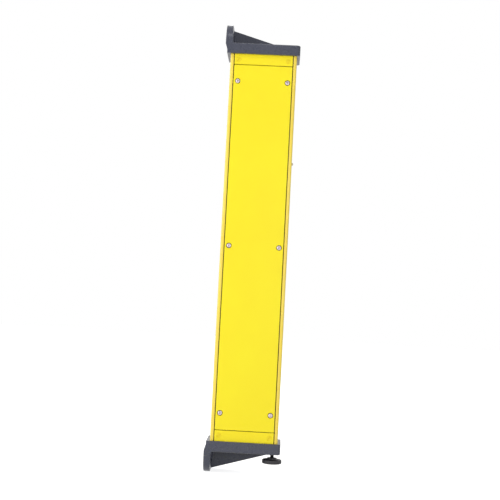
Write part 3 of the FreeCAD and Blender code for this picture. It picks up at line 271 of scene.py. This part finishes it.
slotOfNode = {entry["node"]: entry["material_slot"] for entry in frame["record"]["subparts"]}
for name, node in nodes.items():
    node.data.materials.clear()
    node.data.materials.append(finishes[slotOfNode[name]])

hardEdge = 32        # degrees between two faces from which their edge counts as sharp


def addPiece(name, mesh, slotName, *replaced):
    piece = bpy.data.objects.new(name, mesh)
    mesh.name = name
    scene.collection.objects.link(piece)
    mesh.materials.clear()
    mesh.materials.append(finishes[slotName])
    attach(piece, "root")
    if replaced:
        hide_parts(*replaced)
    return piece


def shadeByAngle(mesh, degrees=hardEdge):
    mesh.shade_smooth()
    mesh.set_sharp_from_angle(angle=math.radians(degrees))


def breakEdges(piece, radiusMm):
    bevel = piece.modifiers.new("broken edges", "BEVEL")
    bevel.width = radiusMm * mm
    bevel.segments = 2
    bevel.limit_method = "ANGLE"
    bevel.angle_limit = math.radians(hardEdge)
    bevel.harden_normals = True
    bevel.use_clamp_overlap = True


weld = {"reach": 2e-6, "flatWithin": 0.4}        # metres between doubled corners, degrees in a flat face


def refinedCopy(nodeName, pieceName, edgeMm):
    # the solid's own surface, joined up, with its hard edges broken by a small bevel
    mesh = nodes[nodeName].data.copy()
    for attribute in [a for a in mesh.attributes if a.name == "custom_normal"]:
        mesh.attributes.remove(attribute)
    skin = bmesh.new()
    skin.from_mesh(mesh)
    bmesh.ops.remove_doubles(skin, verts=skin.verts, dist=weld["reach"])
    bmesh.ops.dissolve_limit(skin, angle_limit=math.radians(weld["flatWithin"]), verts=skin.verts,
                             edges=skin.edges, use_dissolve_boundaries=False)
    skin.to_mesh(mesh)
    skin.free()
    shadeByAngle(mesh)
    piece = addPiece(pieceName, mesh, slotOfNode[nodeName], nodeName)
    if edgeMm:
        breakEdges(piece, edgeMm)


def ringOf(skin, radius, height, steps, start=0.0):
    angles = [start + 2 * math.pi * step / steps for step in range(steps)]
    return [skin.verts.new((radius * math.cos(a), radius * math.sin(a), height)) for a in angles]


def joinRings(skin, rings, steps, closed=False):
    # skins each ring to the next, and the last to the first if closed; a ring of one corner is a pole
    pairs = list(zip(rings, rings[1:])) + ([(rings[-1], rings[0])] if closed else [])
    for lower, upper in pairs:
        for step in range(steps):
            ahead = (step + 1) % steps
            ring = [lower[step % len(lower)], lower[ahead % len(lower)], upper[ahead % len(upper)],
                    upper[step % len(upper)]]
            corners = list(dict.fromkeys(ring))
            if len(corners) > 2:
                skin.faces.new(corners)


def addTurned(skin, outline, steps=48, closed=False, start=0.0):
    # revolves (radius, height) pairs about local Z; a zero radius makes a pole
    rings = [ringOf(skin, radius, height, steps if radius else 1, start) for radius, height in outline]
    joinRings(skin, rings, steps, closed)


def addPrism(skin, outline, low, high, shrink=1.0):
    # straight prism on an (x, y) outline; shrink tapers its lower end
    bottom = [skin.verts.new((x * shrink, y * shrink, low)) for x, y in outline]
    top = [skin.verts.new((x, y, high)) for x, y in outline]
    skin.faces.new(bottom[::-1])
    skin.faces.new(top)
    for at in range(len(outline)):
        ahead = (at + 1) % len(outline)
        skin.faces.new((bottom[at], bottom[ahead], top[ahead], top[at]))


def hexagonOutline(acrossFlats):
    radius = acrossFlats / math.sqrt(3)
    return [(radius * math.cos(math.radians(60 * k + 30)), radius * math.sin(math.radians(60 * k + 30)))
            for k in range(6)]


def threadRings(skin, radius, pitch, depth, low, high, rows, steps, runIn, runOut):
    # rings of a helical ridge that rises and dies away over the run-in and the run-out
    rings = []
    for row in range(rows + 1):
        height = low + (high - low) * row / rows
        fade = min(1.0, (height - low) / runIn, (high - height) / runOut)
        ring = []
        for step in range(steps):
            phase = (height / pitch - step / steps) % 1.0
            groove = depth * abs(2 * phase - 1)
            r = radius - depth + (depth - groove) * fade
            angle = 2 * math.pi * step / steps
            ring.append(skin.verts.new((r * math.cos(angle), r * math.sin(angle), height)))
        rings.append(ring)
    return rings


isoThread = {"depth": 0.54, "run": 0.6}        # shares of the pitch


def addThread(skin, radius, pitch, low, high, steps, perTurn):
    # a threaded rod whose ridge dies away at both ends, closed by poles
    rows = max(8, round((high - low) / pitch * perTurn))
    run = isoThread["run"] * pitch
    pole = ringOf(skin, 0, low, 1)
    rings = threadRings(skin, radius, pitch, isoThread["depth"] * pitch, low, high, rows, steps, run, run)
    joinRings(skin, [pole, *rings, ringOf(skin, 0, high, 1)], steps)


# turns from local Z
facings = {"up": (0, 0, 0), "down": (math.pi, 0, 0), "front": (math.pi / 2, 0, 0),
           "back": (-math.pi / 2, 0, 0), "window": (0, math.pi / 2, 0)}


def meshFrom(skin, name, placeMm=(0, 0, 0), facing="up", degrees=hardEdge):
    # millimetres to metres, turned to face its way and moved to its place
    turn = Euler(facings[facing]).to_matrix().to_4x4()
    bmesh.ops.recalc_face_normals(skin, faces=skin.faces)
    skin.transform(Matrix.Translation(Vector(placeMm) * mm) @ turn @ Matrix.Scale(mm, 4))
    mesh = bpy.data.meshes.new(name)
    skin.to_mesh(mesh)
    skin.free()
    shadeByAngle(mesh, degrees)
    return mesh


def carve(mesh, cutter, name):
    # takes the cutter out of the mesh with a boolean and returns the result
    body = bpy.data.objects.new(name, mesh)
    tool = bpy.data.objects.new(name + "Tool", cutter)
    scene.collection.objects.link(body)
    scene.collection.objects.link(tool)
    boolean = body.modifiers.new("carve", "BOOLEAN")
    boolean.operation = "DIFFERENCE"
    boolean.solver = "EXACT"
    boolean.object = tool
    view = bpy.context.evaluated_depsgraph_get()
    carved = bpy.data.meshes.new_from_object(body.evaluated_get(view), depsgraph=view)
    bpy.data.objects.remove(body)
    bpy.data.objects.remove(tool)
    shadeByAngle(carved)
    return carved


def scatterTree():
    # sets a copy of one fastener on every point, each turned by its own seeded amount
    tree = bpy.data.node_groups.new("set on points", "GeometryNodeTree")
    face = tree.interface
    face.new_socket("Geometry", in_out="INPUT", socket_type="NodeSocketGeometry")
    sockets = {label: face.new_socket(label, in_out="INPUT", socket_type=kind) for label, kind in (
        ("Fastener", "NodeSocketObject"), ("Facing", "NodeSocketVector"), ("Least turn", "NodeSocketFloat"),
        ("Most turn", "NodeSocketFloat"), ("Seed", "NodeSocketInt"), ("Finish", "NodeSocketMaterial"))}
    face.new_socket("Geometry", in_out="OUTPUT", socket_type="NodeSocketGeometry")
    entry = addNode(tree, "NodeGroupInput")
    source = addNode(tree, "GeometryNodeObjectInfo", {"Object": entry.outputs["Fastener"]})
    drawn = {2: entry.outputs["Least turn"], 3: entry.outputs["Most turn"], "Seed": entry.outputs["Seed"]}
    spin = addNode(tree, "FunctionNodeRandomValue", drawn, data_type="FLOAT")        # sockets 2, 3: its range
    ownTurn = addNode(tree, "ShaderNodeCombineXYZ", {"Z": spin.outputs[1]})
    facing = addNode(tree, "FunctionNodeEulerToRotation", {"Euler": entry.outputs["Facing"]})
    turned = addNode(tree, "FunctionNodeEulerToRotation", {"Euler": ownTurn.outputs["Vector"]})
    whole = addNode(tree, "FunctionNodeRotateRotation", {"Rotation": facing.outputs["Rotation"],
                                                         "Rotate By": turned.outputs["Rotation"]},
                    rotation_space="LOCAL")
    copies = addNode(tree, "GeometryNodeInstanceOnPoints", {
        "Points": entry.outputs["Geometry"], "Instance": source.outputs["Geometry"],
        "Rotation": whole.outputs["Rotation"]})
    real = addNode(tree, "GeometryNodeRealizeInstances", {"Geometry": copies.outputs["Instances"]})
    coated = addNode(tree, "GeometryNodeSetMaterial", {"Geometry": real.outputs["Geometry"],
                                                       "Material": entry.outputs["Finish"]})
    addNode(tree, "NodeGroupOutput", {"Geometry": coated.outputs["Geometry"]})
    return tree, {label: socket.identifier for label, socket in sockets.items()}


setOnPoints, inputOf = scatterTree()


def setPieces(name, master, pointsMm, facing, slotName, replaced=(), turns=(0.0, 0.0), seed=3):
    # runs the tree on bare points and keeps the plain mesh
    bare = bpy.data.meshes.new(name + "Points")
    bare.from_pydata([[value * mm for value in point] for point in pointsMm], [], [])
    holder = bpy.data.objects.new(name + "Holder", bare)
    fastener = bpy.data.objects.new(name + "Master", master)
    scene.collection.objects.link(holder)
    scene.collection.objects.link(fastener)
    modifier = holder.modifiers.new("set", "NODES")
    modifier.node_group = setOnPoints
    values = {"Fastener": fastener, "Facing": facings[facing], "Least turn": turns[0], "Most turn": turns[1],
              "Seed": seed, "Finish": finishes[slotName]}
    for label, value in values.items():
        modifier[inputOf[label]] = value
    view = bpy.context.evaluated_depsgraph_get()
    mesh = bpy.data.meshes.new_from_object(holder.evaluated_get(view), depsgraph=view)
    bpy.data.objects.remove(holder)
    bpy.data.objects.remove(fastener)
    addPiece(name, mesh, slotName, *replaced)


def boxMm(nodeName):
    low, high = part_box(nodeName)
    return [value / mm for value in low], [value / mm for value in high]


# node: piece name, edge radius in millimetres
bodyForms = {
    "housing_profile": ("housing", 0.3),
    "service_cover": ("cover", 0.3),
    "top_end_strip": ("topStrip", 0.3),
    "bottom_end_strip": ("bottomStrip", 0.3),
    "top_bracket": ("topCasting", 0.8),
    "bottom_bracket": ("bottomCasting", 0.8),
}
for nodeName, (pieceName, edgeMm) in bodyForms.items():
    refinedCopy(nodeName, pieceName, edgeMm)


def addBlock(skin, low, high):
    outline = [(low[0], low[1]), (high[0], low[1]), (high[0], high[1]), (low[0], high[1])]
    addPrism(skin, outline, low[2], high[2])


# dark nitrile cord in the seams round the cover and beside the end strips, just below the surface: painted
# shade that darkens the gaps
paintedSeamShade = {"below": 0.3, "play": 0.02, "end": 0.05}
gasketLow, gasketHigh = boxMm("cover_gasket")
coverLow, coverHigh = boxMm("service_cover")
stripLow, stripHigh = boxMm("top_end_strip")
shadeFront = coverLow[1] + paintedSeamShade["below"]
play, top = paintedSeamShade["play"], stripHigh[2] - paintedSeamShade["end"]
skin = bmesh.new()
for near, far in ((gasketLow[0], coverLow[0] - play), (coverHigh[0] + play, gasketHigh[0])):
    addBlock(skin, (near, shadeFront, gasketLow[2]), (far, gasketLow[1], gasketHigh[2]))
    addBlock(skin, (near, shadeFront, gasketHigh[2] + play), (far, gasketHigh[1] - play, top))
    addBlock(skin, (near, shadeFront, -top), (far, gasketHigh[1] - play, gasketLow[2] - play))
for lower, upper in ((coverHigh[2] + play, stripLow[2]), (-stripLow[2], coverLow[2] - play)):
    addBlock(skin, (coverLow[0], shadeFront, lower), (coverHigh[0], gasketLow[1], upper))
addPiece("seamSeals", meshFrom(skin, "seamSeals"), "seal_rubber")
print("housing, cover and castings dressed")


def shankUnder(head, sizes, top, degrees=hardEdge):
    # joins the threaded shank, its upper end sunk into the finished head
    skin = bmesh.new()
    skin.from_mesh(head)
    skin.transform(Matrix.Scale(1 / mm, 4))
    addThread(skin, sizes["shank"] / 2, sizes["pitch"], -sizes["length"], top, steps=20, perTurn=5)
    return meshFrom(skin, "screw", degrees=degrees)


# cover screws with dark nitrile rings round their heads, painted shade in the counterbores, in millimetres
coverScrew = {
    "head": 7.2, "headHeight": 2.3, "shank": 4.0, "length": 9.5, "pitch": 0.7, "shankSunk": 0.05,
    "crossLength": 2.1, "crossWidth": 0.5, "crossDepth": 1.35, "crossTaper": 0.45, "cutterSpare": 0.4,
    "underEdge": 0.12, "ringOuter": 8.3, "ringThickness": 0.7, "ringPlay": 0.05, "ringEdge": 0.15,
    "ringWallShare": 0.7,
    # the head's crown from its middle to its rim, as shares of radius and height
    "crown": [(0, 1), (0.4, 0.985), (0.66, 0.93), (0.84, 0.8), (0.95, 0.58), (1, 0.3)],
}


def panHead(sizes):
    radius, height, edge = sizes["head"] / 2, sizes["headHeight"], sizes["underEdge"]
    skin = bmesh.new()
    crown = [(radius * across, height * up) for across, up in sizes["crown"]]
    addTurned(skin, crown + [(radius, edge), (radius - edge, 0), (0, 0)])
    head = meshFrom(skin, "panHead")
    reach, half = sizes["crossLength"], sizes["crossWidth"]
    cross = [(reach, -half), (reach, half), (half, half), (half, reach), (-half, reach), (-half, half),
             (-reach, half), (-reach, -half), (-half, -half), (-half, -reach), (half, -reach), (half, -half)]
    skin = bmesh.new()
    addPrism(skin, cross, height - sizes["crossDepth"], height + sizes["cutterSpare"], sizes["crossTaper"])
    head = carve(head, meshFrom(skin, "crossRecess"), "panHead")
    return shankUnder(head, sizes, sizes["shankSunk"])


low, high = boxMm("cover_screws")
headRadius = coverScrew["head"] / 2
seatY = low[1] + coverScrew["headHeight"]
screwPoints = [(x, seatY, z) for x in (low[0] + headRadius, high[0] - headRadius)
               for z in (low[2] + headRadius, 0, high[2] - headRadius)]
setPieces("coverScrews", panHead(coverScrew), screwPoints, "front", "bright_steel", ["cover_screws"],
          turns=(0, 1.5), seed=5)
# dark ring round each head: painted shade in the counterbore gap
skin = bmesh.new()
inner, outer = headRadius + coverScrew["ringPlay"], coverScrew["ringOuter"] / 2
thick = coverScrew["ringThickness"]
ringLine = [(inner, 0), (outer, 0), (outer, thick * coverScrew["ringWallShare"]),
            (outer - coverScrew["ringEdge"], thick), (inner, thick)]
addTurned(skin, ringLine, 40, closed=True)
setPieces("screwSeals", meshFrom(skin, "ring"), screwPoints, "front", "seal_rubber")
print("cover screws set")


# countersunk screws in the end strips, painted over
stripScrew = {
    "head": 8.4, "cone": 2.3, "edge": 0.15, "shank": 4.0, "length": 10.0, "pitch": 0.7, "shankSunk": 0.05,
    "slot": 1.0, "slotDepth": 1.0, "cutterSpare": 1.0,
}


def slottedHead(sizes):
    radius, cone, edge, spare = sizes["head"] / 2, sizes["cone"], sizes["edge"], sizes["cutterSpare"]
    skin = bmesh.new()
    addTurned(skin, [(0, 0), (radius - edge, 0), (radius, -edge), (sizes["shank"] / 2, -cone), (0, -cone)])
    head = meshFrom(skin, "slottedHead")
    skin = bmesh.new()
    half, reach = sizes["slot"] / 2, radius + spare
    addBlock(skin, (-reach, -half, -sizes["slotDepth"]), (reach, half, spare))
    head = carve(head, meshFrom(skin, "slot"), "slottedHead")
    return shankUnder(head, sizes, sizes["shankSunk"] - cone)


low, high = boxMm("end_strip_screws")
headRadius = stripScrew["head"] / 2
stripPoints = [(x, low[1], z) for x in (low[0] + headRadius, high[0] - headRadius)
               for z in (low[2] + headRadius, high[2] - headRadius)]
setPieces("stripScrews", slottedHead(stripScrew), stripPoints, "front", "painted_screws",
          ["end_strip_screws"], turns=(0.6, 1.0), seed=11)
print("end strip screws set")


# socket screws in the castings
capScrew = {
    "head": 7.0, "headHeight": 4.0, "shank": 4.0, "length": 20.0, "pitch": 0.7, "shankSunk": 0.05,
    "socket": 3.0, "socketDepth": 2.2, "cutterSpare": 0.5, "knurls": 36, "knurlDepth": 0.14,
    "knurlReach": 0.01, "spread": 50, "hardEdge": 24,
    # the head's wall from its top to its underside: in from the wall, and height from the top or the base
    "topEdge": [(0.5, 0), (0.25, 0.1), (0, 0.45)], "baseEdge": [(0, 0.3), (0.25, 0)],
}


def socketHead(sizes):
    radius, height = sizes["head"] / 2, sizes["headHeight"]
    skin = bmesh.new()
    steps = sizes["knurls"] * 2
    wall = [(radius - inset, height - down) for inset, down in sizes["topEdge"]]
    wall += [(radius - inset, up) for inset, up in sizes["baseEdge"]]
    addTurned(skin, [(0, height), *wall, (0, 0)], steps)
    for vert in skin.verts:        # every second line of the wall pressed in makes the knurl
        reach = math.hypot(vert.co.x, vert.co.y)
        line = round(math.atan2(vert.co.y, vert.co.x) / (2 * math.pi) * steps) % 2
        if line and reach > radius - sizes["knurlReach"]:
            vert.co.x *= 1 - sizes["knurlDepth"] / radius
            vert.co.y *= 1 - sizes["knurlDepth"] / radius
    head = meshFrom(skin, "socketHead")
    skin = bmesh.new()
    floor, spare = height - sizes["socketDepth"], sizes["cutterSpare"]
    addPrism(skin, hexagonOutline(sizes["socket"]), floor, height + spare)
    head = carve(head, meshFrom(skin, "socket"), "socketHead")
    return shankUnder(head, sizes, sizes["shankSunk"], sizes["hardEdge"])


socketMaster = socketHead(capScrew)
headRadius = capScrew["head"] / 2
castingScrews = {"top_bracket_screws": ("topCastingScrews", "up"),
                 "bottom_bracket_screws": ("bottomCastingScrews", "down")}
for nodeName, (pieceName, facing) in castingScrews.items():
    low, high = boxMm(nodeName)
    seatZ = high[2] - capScrew["headHeight"] if facing == "up" else low[2] + capScrew["headHeight"]
    frontY, backY = low[1] + headRadius, high[1] - headRadius
    middle, half = (low[0] + high[0]) / 2, capScrew["spread"] / 2
    points = [(low[0] + headRadius, backY, seatZ), (high[0] - headRadius, backY, seatZ),
              (middle - half, frontY, seatZ), (middle + half, frontY, seatZ)]
    setPieces(pieceName, socketMaster, points, facing, "black_steel", [nodeName], turns=(0, 3), seed=7)
print("casting screws set")


def addNut(skin, acrossFlats, bore, tall, edge, start=0.0):
    # a hexagon nut with a plain bore; its outline carries the chamfer to the corners
    flat = acrossFlats / 2
    corner = flat / math.cos(math.pi / 6)
    outline = [(bore, 0), (flat, 0), (corner, edge), (corner, tall - edge), (flat, tall), (bore, tall)]
    addTurned(skin, outline, 6, closed=True, start=start)


# foot: threaded stud, lock nut and moulded pad
foot = {
    "stud": 6.0, "pitch": 1.0, "nutFlats": 10.0, "nutEdge": 0.45, "play": 0.05,
    "padRadius": 15.1, "hubRadius": 7.5, "hubHeight": 2.5, "boreDepth": 5.5, "ribs": 40, "ribDepth": 0.35,
    "ribFrom": 1.0, "ribBelowRim": 0.6, "ribWall": 0.2, "soleLift": 0.35,
    # sole with two grooves and the rounded lower edge: in from the wall, height
    "sole": [(9.6, 0.35), (9.3, 0), (7.6, 0), (7.3, 0.35), (4.4, 0.35), (4.1, 0), (1.6, 0), (0.6, 0.3),
             (0.12, 0.9), (0, 1.7)],
    "rimEdge": [(0, 1.3), (0.35, 0.5), (1.1, 0.08), (2.0, 0)],        # in from the wall, down from the rim
    "hubFillet": [(1.2, 0), (0.3, 0.25), (0, 0.9)],        # out from the hub, up from the rim
    "hubEdge": [(0, 0.7), (0.25, 0.2), (0.9, 0)],        # in from the hub, down from its top
}
low, high = boxMm("foot_stud")
footX, footY = (low[0] + high[0]) / 2, (low[1] + high[1]) / 2
skin = bmesh.new()
addThread(skin, foot["stud"] / 2, foot["pitch"], low[2], high[2], steps=32, perTurn=6)
addPiece("footStud", meshFrom(skin, "footStud", (footX, footY, 0)), "black_steel", "foot_stud")

bore = foot["stud"] / 2 + foot["play"]
low, high = boxMm("foot_lock_nut")
skin = bmesh.new()
addNut(skin, foot["nutFlats"], bore, high[2] - low[2], foot["nutEdge"], start=math.pi / 6)
addPiece("lockNut", meshFrom(skin, "lockNut", (footX, footY, low[2])), "black_steel", "foot_lock_nut")

low, high = boxMm("foot_pad")
skin = bmesh.new()
wall, hub, tall = foot["padRadius"], foot["hubRadius"], high[2] - low[2]
rim = tall - foot["hubHeight"]
padLine = [(0, foot["soleLift"])]
padLine += [(wall - inset, height) for inset, height in foot["sole"]]
padLine += [(wall - inset, rim - down) for inset, down in foot["rimEdge"]]
padLine += [(hub + out, rim + up) for out, up in foot["hubFillet"]]
padLine += [(hub - inset, tall - down) for inset, down in foot["hubEdge"]]
padLine += [(bore, tall), (bore, tall - foot["boreDepth"]), (0, tall - foot["boreDepth"])]
addTurned(skin, padLine, foot["ribs"] * 4)
for vert in skin.verts:        # shallow grip flutes round the wall
    reach = math.hypot(vert.co.x, vert.co.y)
    if reach > wall - foot["ribWall"] and foot["ribFrom"] < vert.co.z < rim - foot["ribBelowRim"]:
        turn = math.atan2(vert.co.y, vert.co.x) * foot["ribs"]
        dip = foot["ribDepth"] * max(0.0, math.cos(turn))
        vert.co.x *= 1 - dip / reach
        vert.co.y *= 1 - dip / reach
addPiece("footPad", meshFrom(skin, "footPad", (footX, footY, low[2])), "foot_plastic", "foot_pad")
print("foot built")


# status lamp: a dome on a short stem
signal = {"lens": 4.2, "height": 2.0, "stem": 2.5, "rimEdge": 0.1, "wallShare": 0.32,
          "domeDegrees": range(12, 84, 12)}
low, high = boxMm("status_indicator")
signalY, signalZ = (low[1] + high[1]) / 2, (low[2] + high[2]) / 2
radius, tall = signal["lens"] / 2, signal["height"]
faceX = high[0] - tall
stemEnd, edge, wallTop = low[0] - faceX, signal["rimEdge"], tall * signal["wallShare"]
domeLine = [(0, stemEnd), (signal["stem"] / 2, stemEnd), (signal["stem"] / 2, 0), (radius - edge, 0),
            (radius, edge), (radius, wallTop)]
for degrees in signal["domeDegrees"]:
    angle = math.radians(degrees)
    domeLine.append((radius * math.cos(angle), wallTop + (tall - wallTop) * math.sin(angle)))
domeLine.append((0, tall))
skin = bmesh.new()
addTurned(skin, domeLine, 40)
addPiece("statusLens", meshFrom(skin, "statusLens", (faceX, signalY, signalZ), "window"), "lamp_lens",
         "status_indicator")
print("status lamp built")


# device connector on the hidden side
connector = {
    "thread": 12.0, "pitch": 1.0, "threadDepth": 0.5, "runIn": 0.8, "runOut": 0.6, "rows": 60, "steps": 48,
    "bore": 9.2, "mouthEdge": 0.25, "flats": 17.0, "flange": 3.0, "flangeSunk": 0.2, "flangeDegrees": 25,
    "seatShare": 0.985, "seatEdge": 0.4, "faceShare": 0.97, "faceEdge": 0.5,
    "rearRadius": 7.0, "rearEdge": 0.3, "rearEdgeIn": 0.25, "rearSunk": 0.02,
    "nutFlats": 19.0, "nutBore": 7.05, "nutEdge": 0.4,
}
low, high = boxMm("connector_shell")
axisX, axisZ = (low[0] + high[0]) / 2, (low[2] + high[2]) / 2
flangeY = boxMm("connector_seal")[1][1]        # the flange sits on the seal's outer face
flange, mouth, rear = connector["flange"], high[1] - flangeY, low[1] - flangeY
flat, bore, steps = connector["flats"] / 2, connector["bore"] / 2, connector["steps"]
corner = flat / math.cos(math.pi / 6)
skin = bmesh.new()
flangeLine = [(bore, 0), (flat * connector["seatShare"], 0), (corner, connector["seatEdge"]),
              (corner, flange - connector["faceEdge"]), (flat * connector["faceShare"], flange),
              (bore, flange)]
addTurned(skin, flangeLine, 6, closed=True)
rings = threadRings(skin, connector["thread"] / 2, connector["pitch"], connector["threadDepth"], flange,
                    mouth, connector["rows"], steps, connector["runIn"], connector["runOut"])
edge = connector["mouthEdge"]
boreLine = [(bore + edge, mouth), (bore, mouth - edge), (bore, flange - connector["flangeSunk"])]
rings += [ringOf(skin, radius, height, steps) for radius, height in boreLine]
joinRings(skin, rings, steps, closed=True)
radius, front = connector["rearRadius"], connector["rearSunk"]
rearLine = [(bore, rear), (radius - connector["rearEdgeIn"], rear), (radius, rear + connector["rearEdge"]),
            (radius, front), (bore, front)]
addTurned(skin, rearLine, 40, closed=True)
shellMesh = meshFrom(skin, "connectorShell", (axisX, flangeY, axisZ), "back", connector["flangeDegrees"])
addPiece("connectorShell", shellMesh, "connector_metal", "connector_shell")

low, high = boxMm("connector_nut")
skin = bmesh.new()
addNut(skin, connector["nutFlats"], connector["nutBore"], high[1] - low[1], connector["nutEdge"])
addPiece("connectorNut", meshFrom(skin, "connectorNut", (axisX, low[1], axisZ), "back"), "connector_metal",
         "connector_nut")
print("connector built")


# remaining nodes keep their form, and those with an edge radius get broken edges
innerForms = {
    "light_window": ("windowPane", 0.25), "window_seal": ("windowSeal", 0),
    "cover_gasket": ("coverGasket", 0), "top_bracket_gasket": ("topGasket", 0),
    "bottom_bracket_gasket": ("bottomGasket", 0), "indicator_lamp": ("lampBody", 0.1),
    "optics_carrier": ("opticsCarrier", 0.2), "lens_strip": ("lensStrip", 0),
    "sensor_board": ("sensorBoard", 0.1), "control_board": ("controlBoard", 0.1),
    "board_spacers": ("boardSpacers", 0.15), "terminal_block": ("terminalBlock", 0.2),
    "safety_relays": ("safetyRelays", 0.3), "smoothing_capacitor": ("smoothingCapacitor", 0.15),
    "board_link": ("boardLink", 0.25), "connector_seal": ("connectorSeal", 0.15),
    "connector_insert": ("connectorInsert", 0.1), "connector_pins": ("connectorPins", 0.1),
    "carrier_screws": ("carrierScrews", 0.1), "board_screws": ("boardScrews", 0.1),
    "earth_washer": ("earthWasher", 0.1), "earth_screw": ("earthScrew", 0.1),
    "photo_elements": ("photoElements", 0.12), "controller_chips": ("controllerChips", 0.1),
}
for nodeName, (pieceName, edgeMm) in innerForms.items():
    refinedCopy(nodeName, pieceName, edgeMm)
print("inner pieces dressed")


# stage, light and camera
studio = {
    "floorHeight": solidBox[0][2] - 0.5 * mm,
    "floorReach": 6.0,
    "floorColour": "#e9e9ea",
    "floorGlow": 0.80,        # lifts the floor to white where no shadow falls
    "ambient": 0.42,
    "lamps": {        # place, target, width, watts
        "key": ((-1.55, -1.35, 0.35), (0.06, 0, 0.0), 0.9, 21),
        "fill": ((0.75, -1.9, 0.15), (0.06, 0, 0.0), 0.3, 6),
        "top": ((0.2, -1.2, 1.7), (0.06, 0, 0.1), 0.35, 4),
        "back": ((-0.6, 1.7, 1.0), (0.06, 0, 0.0), 1.2, 12),
    },
}


def rayKinds(tree):
    # one where a camera, mirror or glass ray arrives, so that gloss shows the white surroundings too
    path = addNode(tree, "ShaderNodeLightPath")
    kind = path.outputs["Is Camera Ray"]
    for other in ("Is Glossy Ray", "Is Transmission Ray"):
        either = addNode(tree, "ShaderNodeMath", {0: kind, 1: path.outputs[other]}, operation="MAXIMUM")
        kind = either.outputs[0]
    return kind


world = bpy.data.worlds.new("white studio")
scene.world = world
world.use_nodes = True
skyTree = world.node_tree
skyTree.nodes.clear()
seen = rayKinds(skyTree)
level = addNode(skyTree, "ShaderNodeMapRange", {"Value": seen, "To Min": studio["ambient"], "To Max": 1.0})
sky = addNode(skyTree, "ShaderNodeBackground", {"Color": (1, 1, 1, 1), "Strength": level.outputs["Result"]})
addNode(skyTree, "ShaderNodeOutputWorld", {"Surface": sky.outputs["Background"]})

floorMesh = bpy.data.meshes.new("floor")
reach = studio["floorReach"]
corners = [(-reach, -reach), (reach, -reach), (reach, reach), (-reach, reach)]
floorMesh.from_pydata([(x, y, studio["floorHeight"]) for x, y in corners], [], [(0, 1, 2, 3)])
floor = bpy.data.objects.new("floor", floorMesh)
scene.collection.objects.link(floor)
floorMaterial, floorTree = startMaterial("white paper floor")
paper = addNode(floorTree, "ShaderNodeBsdfDiffuse", {"Color": linearColour(studio["floorColour"])})
glow = addNode(floorTree, "ShaderNodeEmission", {"Color": (1, 1, 1, 1)})
glowLevel = addNode(floorTree, "ShaderNodeMath", {0: rayKinds(floorTree), 1: studio["floorGlow"]},
                    operation="MULTIPLY")
floorTree.links.new(glowLevel.outputs[0], glow.inputs["Strength"])
both = addNode(floorTree, "ShaderNodeAddShader", {0: paper.outputs["BSDF"], 1: glow.outputs["Emission"]})
addNode(floorTree, "ShaderNodeOutputMaterial", {"Surface": both.outputs["Shader"]})
floorMesh.materials.append(floorMaterial)

for lampName, (place, target, width, watts) in studio["lamps"].items():
    light = bpy.data.lights.new(lampName, "AREA")
    light.energy = watts
    light.size = width
    lamp = bpy.data.objects.new(lampName, light)
    lamp.location = place
    lamp.rotation_euler = (Vector(target) - Vector(place)).to_track_quat("-Z", "Y").to_euler()
    scene.collection.objects.link(lamp)

view = {
    "place": (0.10302, -1.55769, -0.08705),
    "turnDegrees": (93.0542, -3.0157, 1.6692),
    "lens": 72,        # millimetres, on a sensor of the width below
    "sensorWidth": 36,
    "farthest": 50,
}
camera = bpy.data.objects.new("camera", bpy.data.cameras.new("camera"))
camera.location = view["place"]
camera.rotation_euler = [math.radians(angle) for angle in view["turnDegrees"]]
camera.data.lens = view["lens"]
camera.data.sensor_width = view["sensorWidth"]
camera.data.clip_end = view["farthest"]
scene.collection.objects.link(camera)
scene.camera = camera
scene.view_settings.view_transform = "Standard"
print("stage, lamps and camera set")
